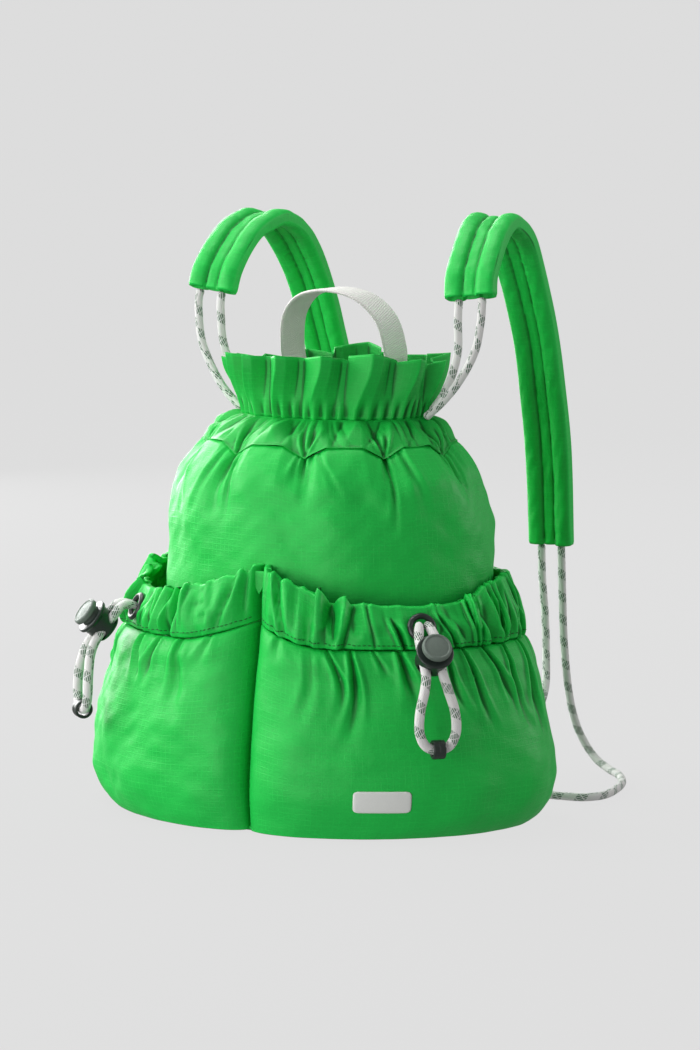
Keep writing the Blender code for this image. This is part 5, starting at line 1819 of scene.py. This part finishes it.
def stitch_row(name, points, normals, radius, side):
    """A row of short stitches along points on a surface, each one a slim bead sunk at its ends."""
    at = measured(points)

    def read(values, place):
        return np.array([np.interp(place, at, values[:, k]) for k in range(3)])

    pitch = bpy.context.scene.backpack_sizes.stitch_pitch
    verts, faces = [], []
    for i in range(int(at[-1] / pitch)):
        middle = (i + 0.5) * pitch
        spot, up = read(points, middle), read(normals, middle)
        after, before = read(points, middle + 0.0004), read(points, middle - 0.0004)
        along = after - before
        along /= np.linalg.norm(along)
        up = up - along * up.dot(along)
        up /= np.linalg.norm(up)
        wide = np.cross(along, up)
        start = len(verts)
        for place, size, lift in STITCH_SHAPE:
            centre = spot + along * place * STITCH_LENGTH + up * radius * lift
            for turn in np.arange(6) / 6 * math.tau:
                verts.append(centre + radius * size * (wide * math.cos(turn) + up * math.sin(turn)))
        for ring in range(len(STITCH_SHAPE) - 1):
            a = start + ring * 6
            for k in range(6):
                faces.append((a + k, a + (k + 1) % 6, a + 6 + (k + 1) % 6, a + 6 + k))
        faces.append(tuple(start + k for k in range(6)))
        faces.append(tuple(start + 6 * (len(STITCH_SHAPE) - 1) + 5 - k for k in range(6)))
    piece = new_piece(name, mirrored(verts, side), faces)
    return finish_piece(outward_faces(piece), "stitch", slot="trim")


class BACKPACK_OT_stitching(bpy.types.Operator):
    """Rows of stitches: along the casings' seams and down the straps' channels"""

    bl_idname = "backpack.stitching"
    bl_label = "Stitching"

    def execute(self, context):
        gather = context.scene.backpack_sizes.casing_gather
        for side, hand in SIDES:
            columns = np.linspace(DIVIDER_ANGLE + 1.2, POCKET_END_ANGLE - 1.5, 700)
            line = casing_surface(columns, np.full_like(columns, 0.10), side, gather)
            stitch_row(f"casing_stitches_low_{hand}", line, outward(columns), 0.00026, side)
            points, _, across, face, share = strap_frames(1, 0.0012)
            for spot, k in (("outer", 0.245), ("inner", -0.245)):
                line = points + across * (STRAP_WIDTH / 2 * k * share)[:, None]
                line = line + face * STRAP_THICKNESS / 2 * 0.42
                stitch_row(f"strap_stitches_{spot}_{hand}", line[2:-2], face[2:-2], 0.00024, side)
        return {"FINISHED"}


class BACKPACK_PT_panel(bpy.types.Panel):
    """The pieces, their sizes and colours"""

    bl_label = "Mini backpack"
    bl_space_type = "VIEW_3D"
    bl_region_type = "UI"
    bl_category = "Backpack"

    def draw(self, context):
        sizes = context.scene.backpack_sizes
        colours = context.scene.backpack_colours
        for group in (sizes, colours):
            for name in group.__annotations__:
                self.layout.prop(group, name)
        for operator in OPERATORS:
            self.layout.operator(operator.bl_idname)


OPERATORS = (
    BACKPACK_OT_stage,
    BACKPACK_OT_cords,
    BACKPACK_OT_base,
    BACKPACK_OT_body,
    BACKPACK_OT_yoke,
    BACKPACK_OT_ruffle,
    BACKPACK_OT_pockets,
    BACKPACK_OT_casings,
    BACKPACK_OT_straps,
    BACKPACK_OT_handle,
    BACKPACK_OT_locks,
    BACKPACK_OT_trims,
    BACKPACK_OT_stitching,
)
CLASSES = (BackpackSizes, BackpackColours, *OPERATORS, BACKPACK_PT_panel)


def register():
    for item in CLASSES:
        bpy.utils.register_class(item)
    bpy.types.Scene.backpack_sizes = PointerProperty(type=BackpackSizes)
    bpy.types.Scene.backpack_colours = PointerProperty(type=BackpackColours)


def unregister():
    del bpy.types.Scene.backpack_sizes
    del bpy.types.Scene.backpack_colours
    for item in reversed(CLASSES):
        bpy.utils.unregister_class(item)


def main():
    """Make every piece in order."""
    register()
    bpy.ops.object.select_all(action="DESELECT")
    bpy.ops.backpack.stage()
    bpy.ops.backpack.cords()
    bpy.ops.backpack.base()
    bpy.ops.backpack.body()
    bpy.ops.backpack.yoke()
    bpy.ops.backpack.ruffle()
    bpy.ops.backpack.pockets()
    bpy.ops.backpack.casings()
    bpy.ops.backpack.straps()
    bpy.ops.backpack.handle()
    bpy.ops.backpack.locks()
    bpy.ops.backpack.trims()
    bpy.ops.backpack.stitching()


if __name__ == "__main__":
    main()
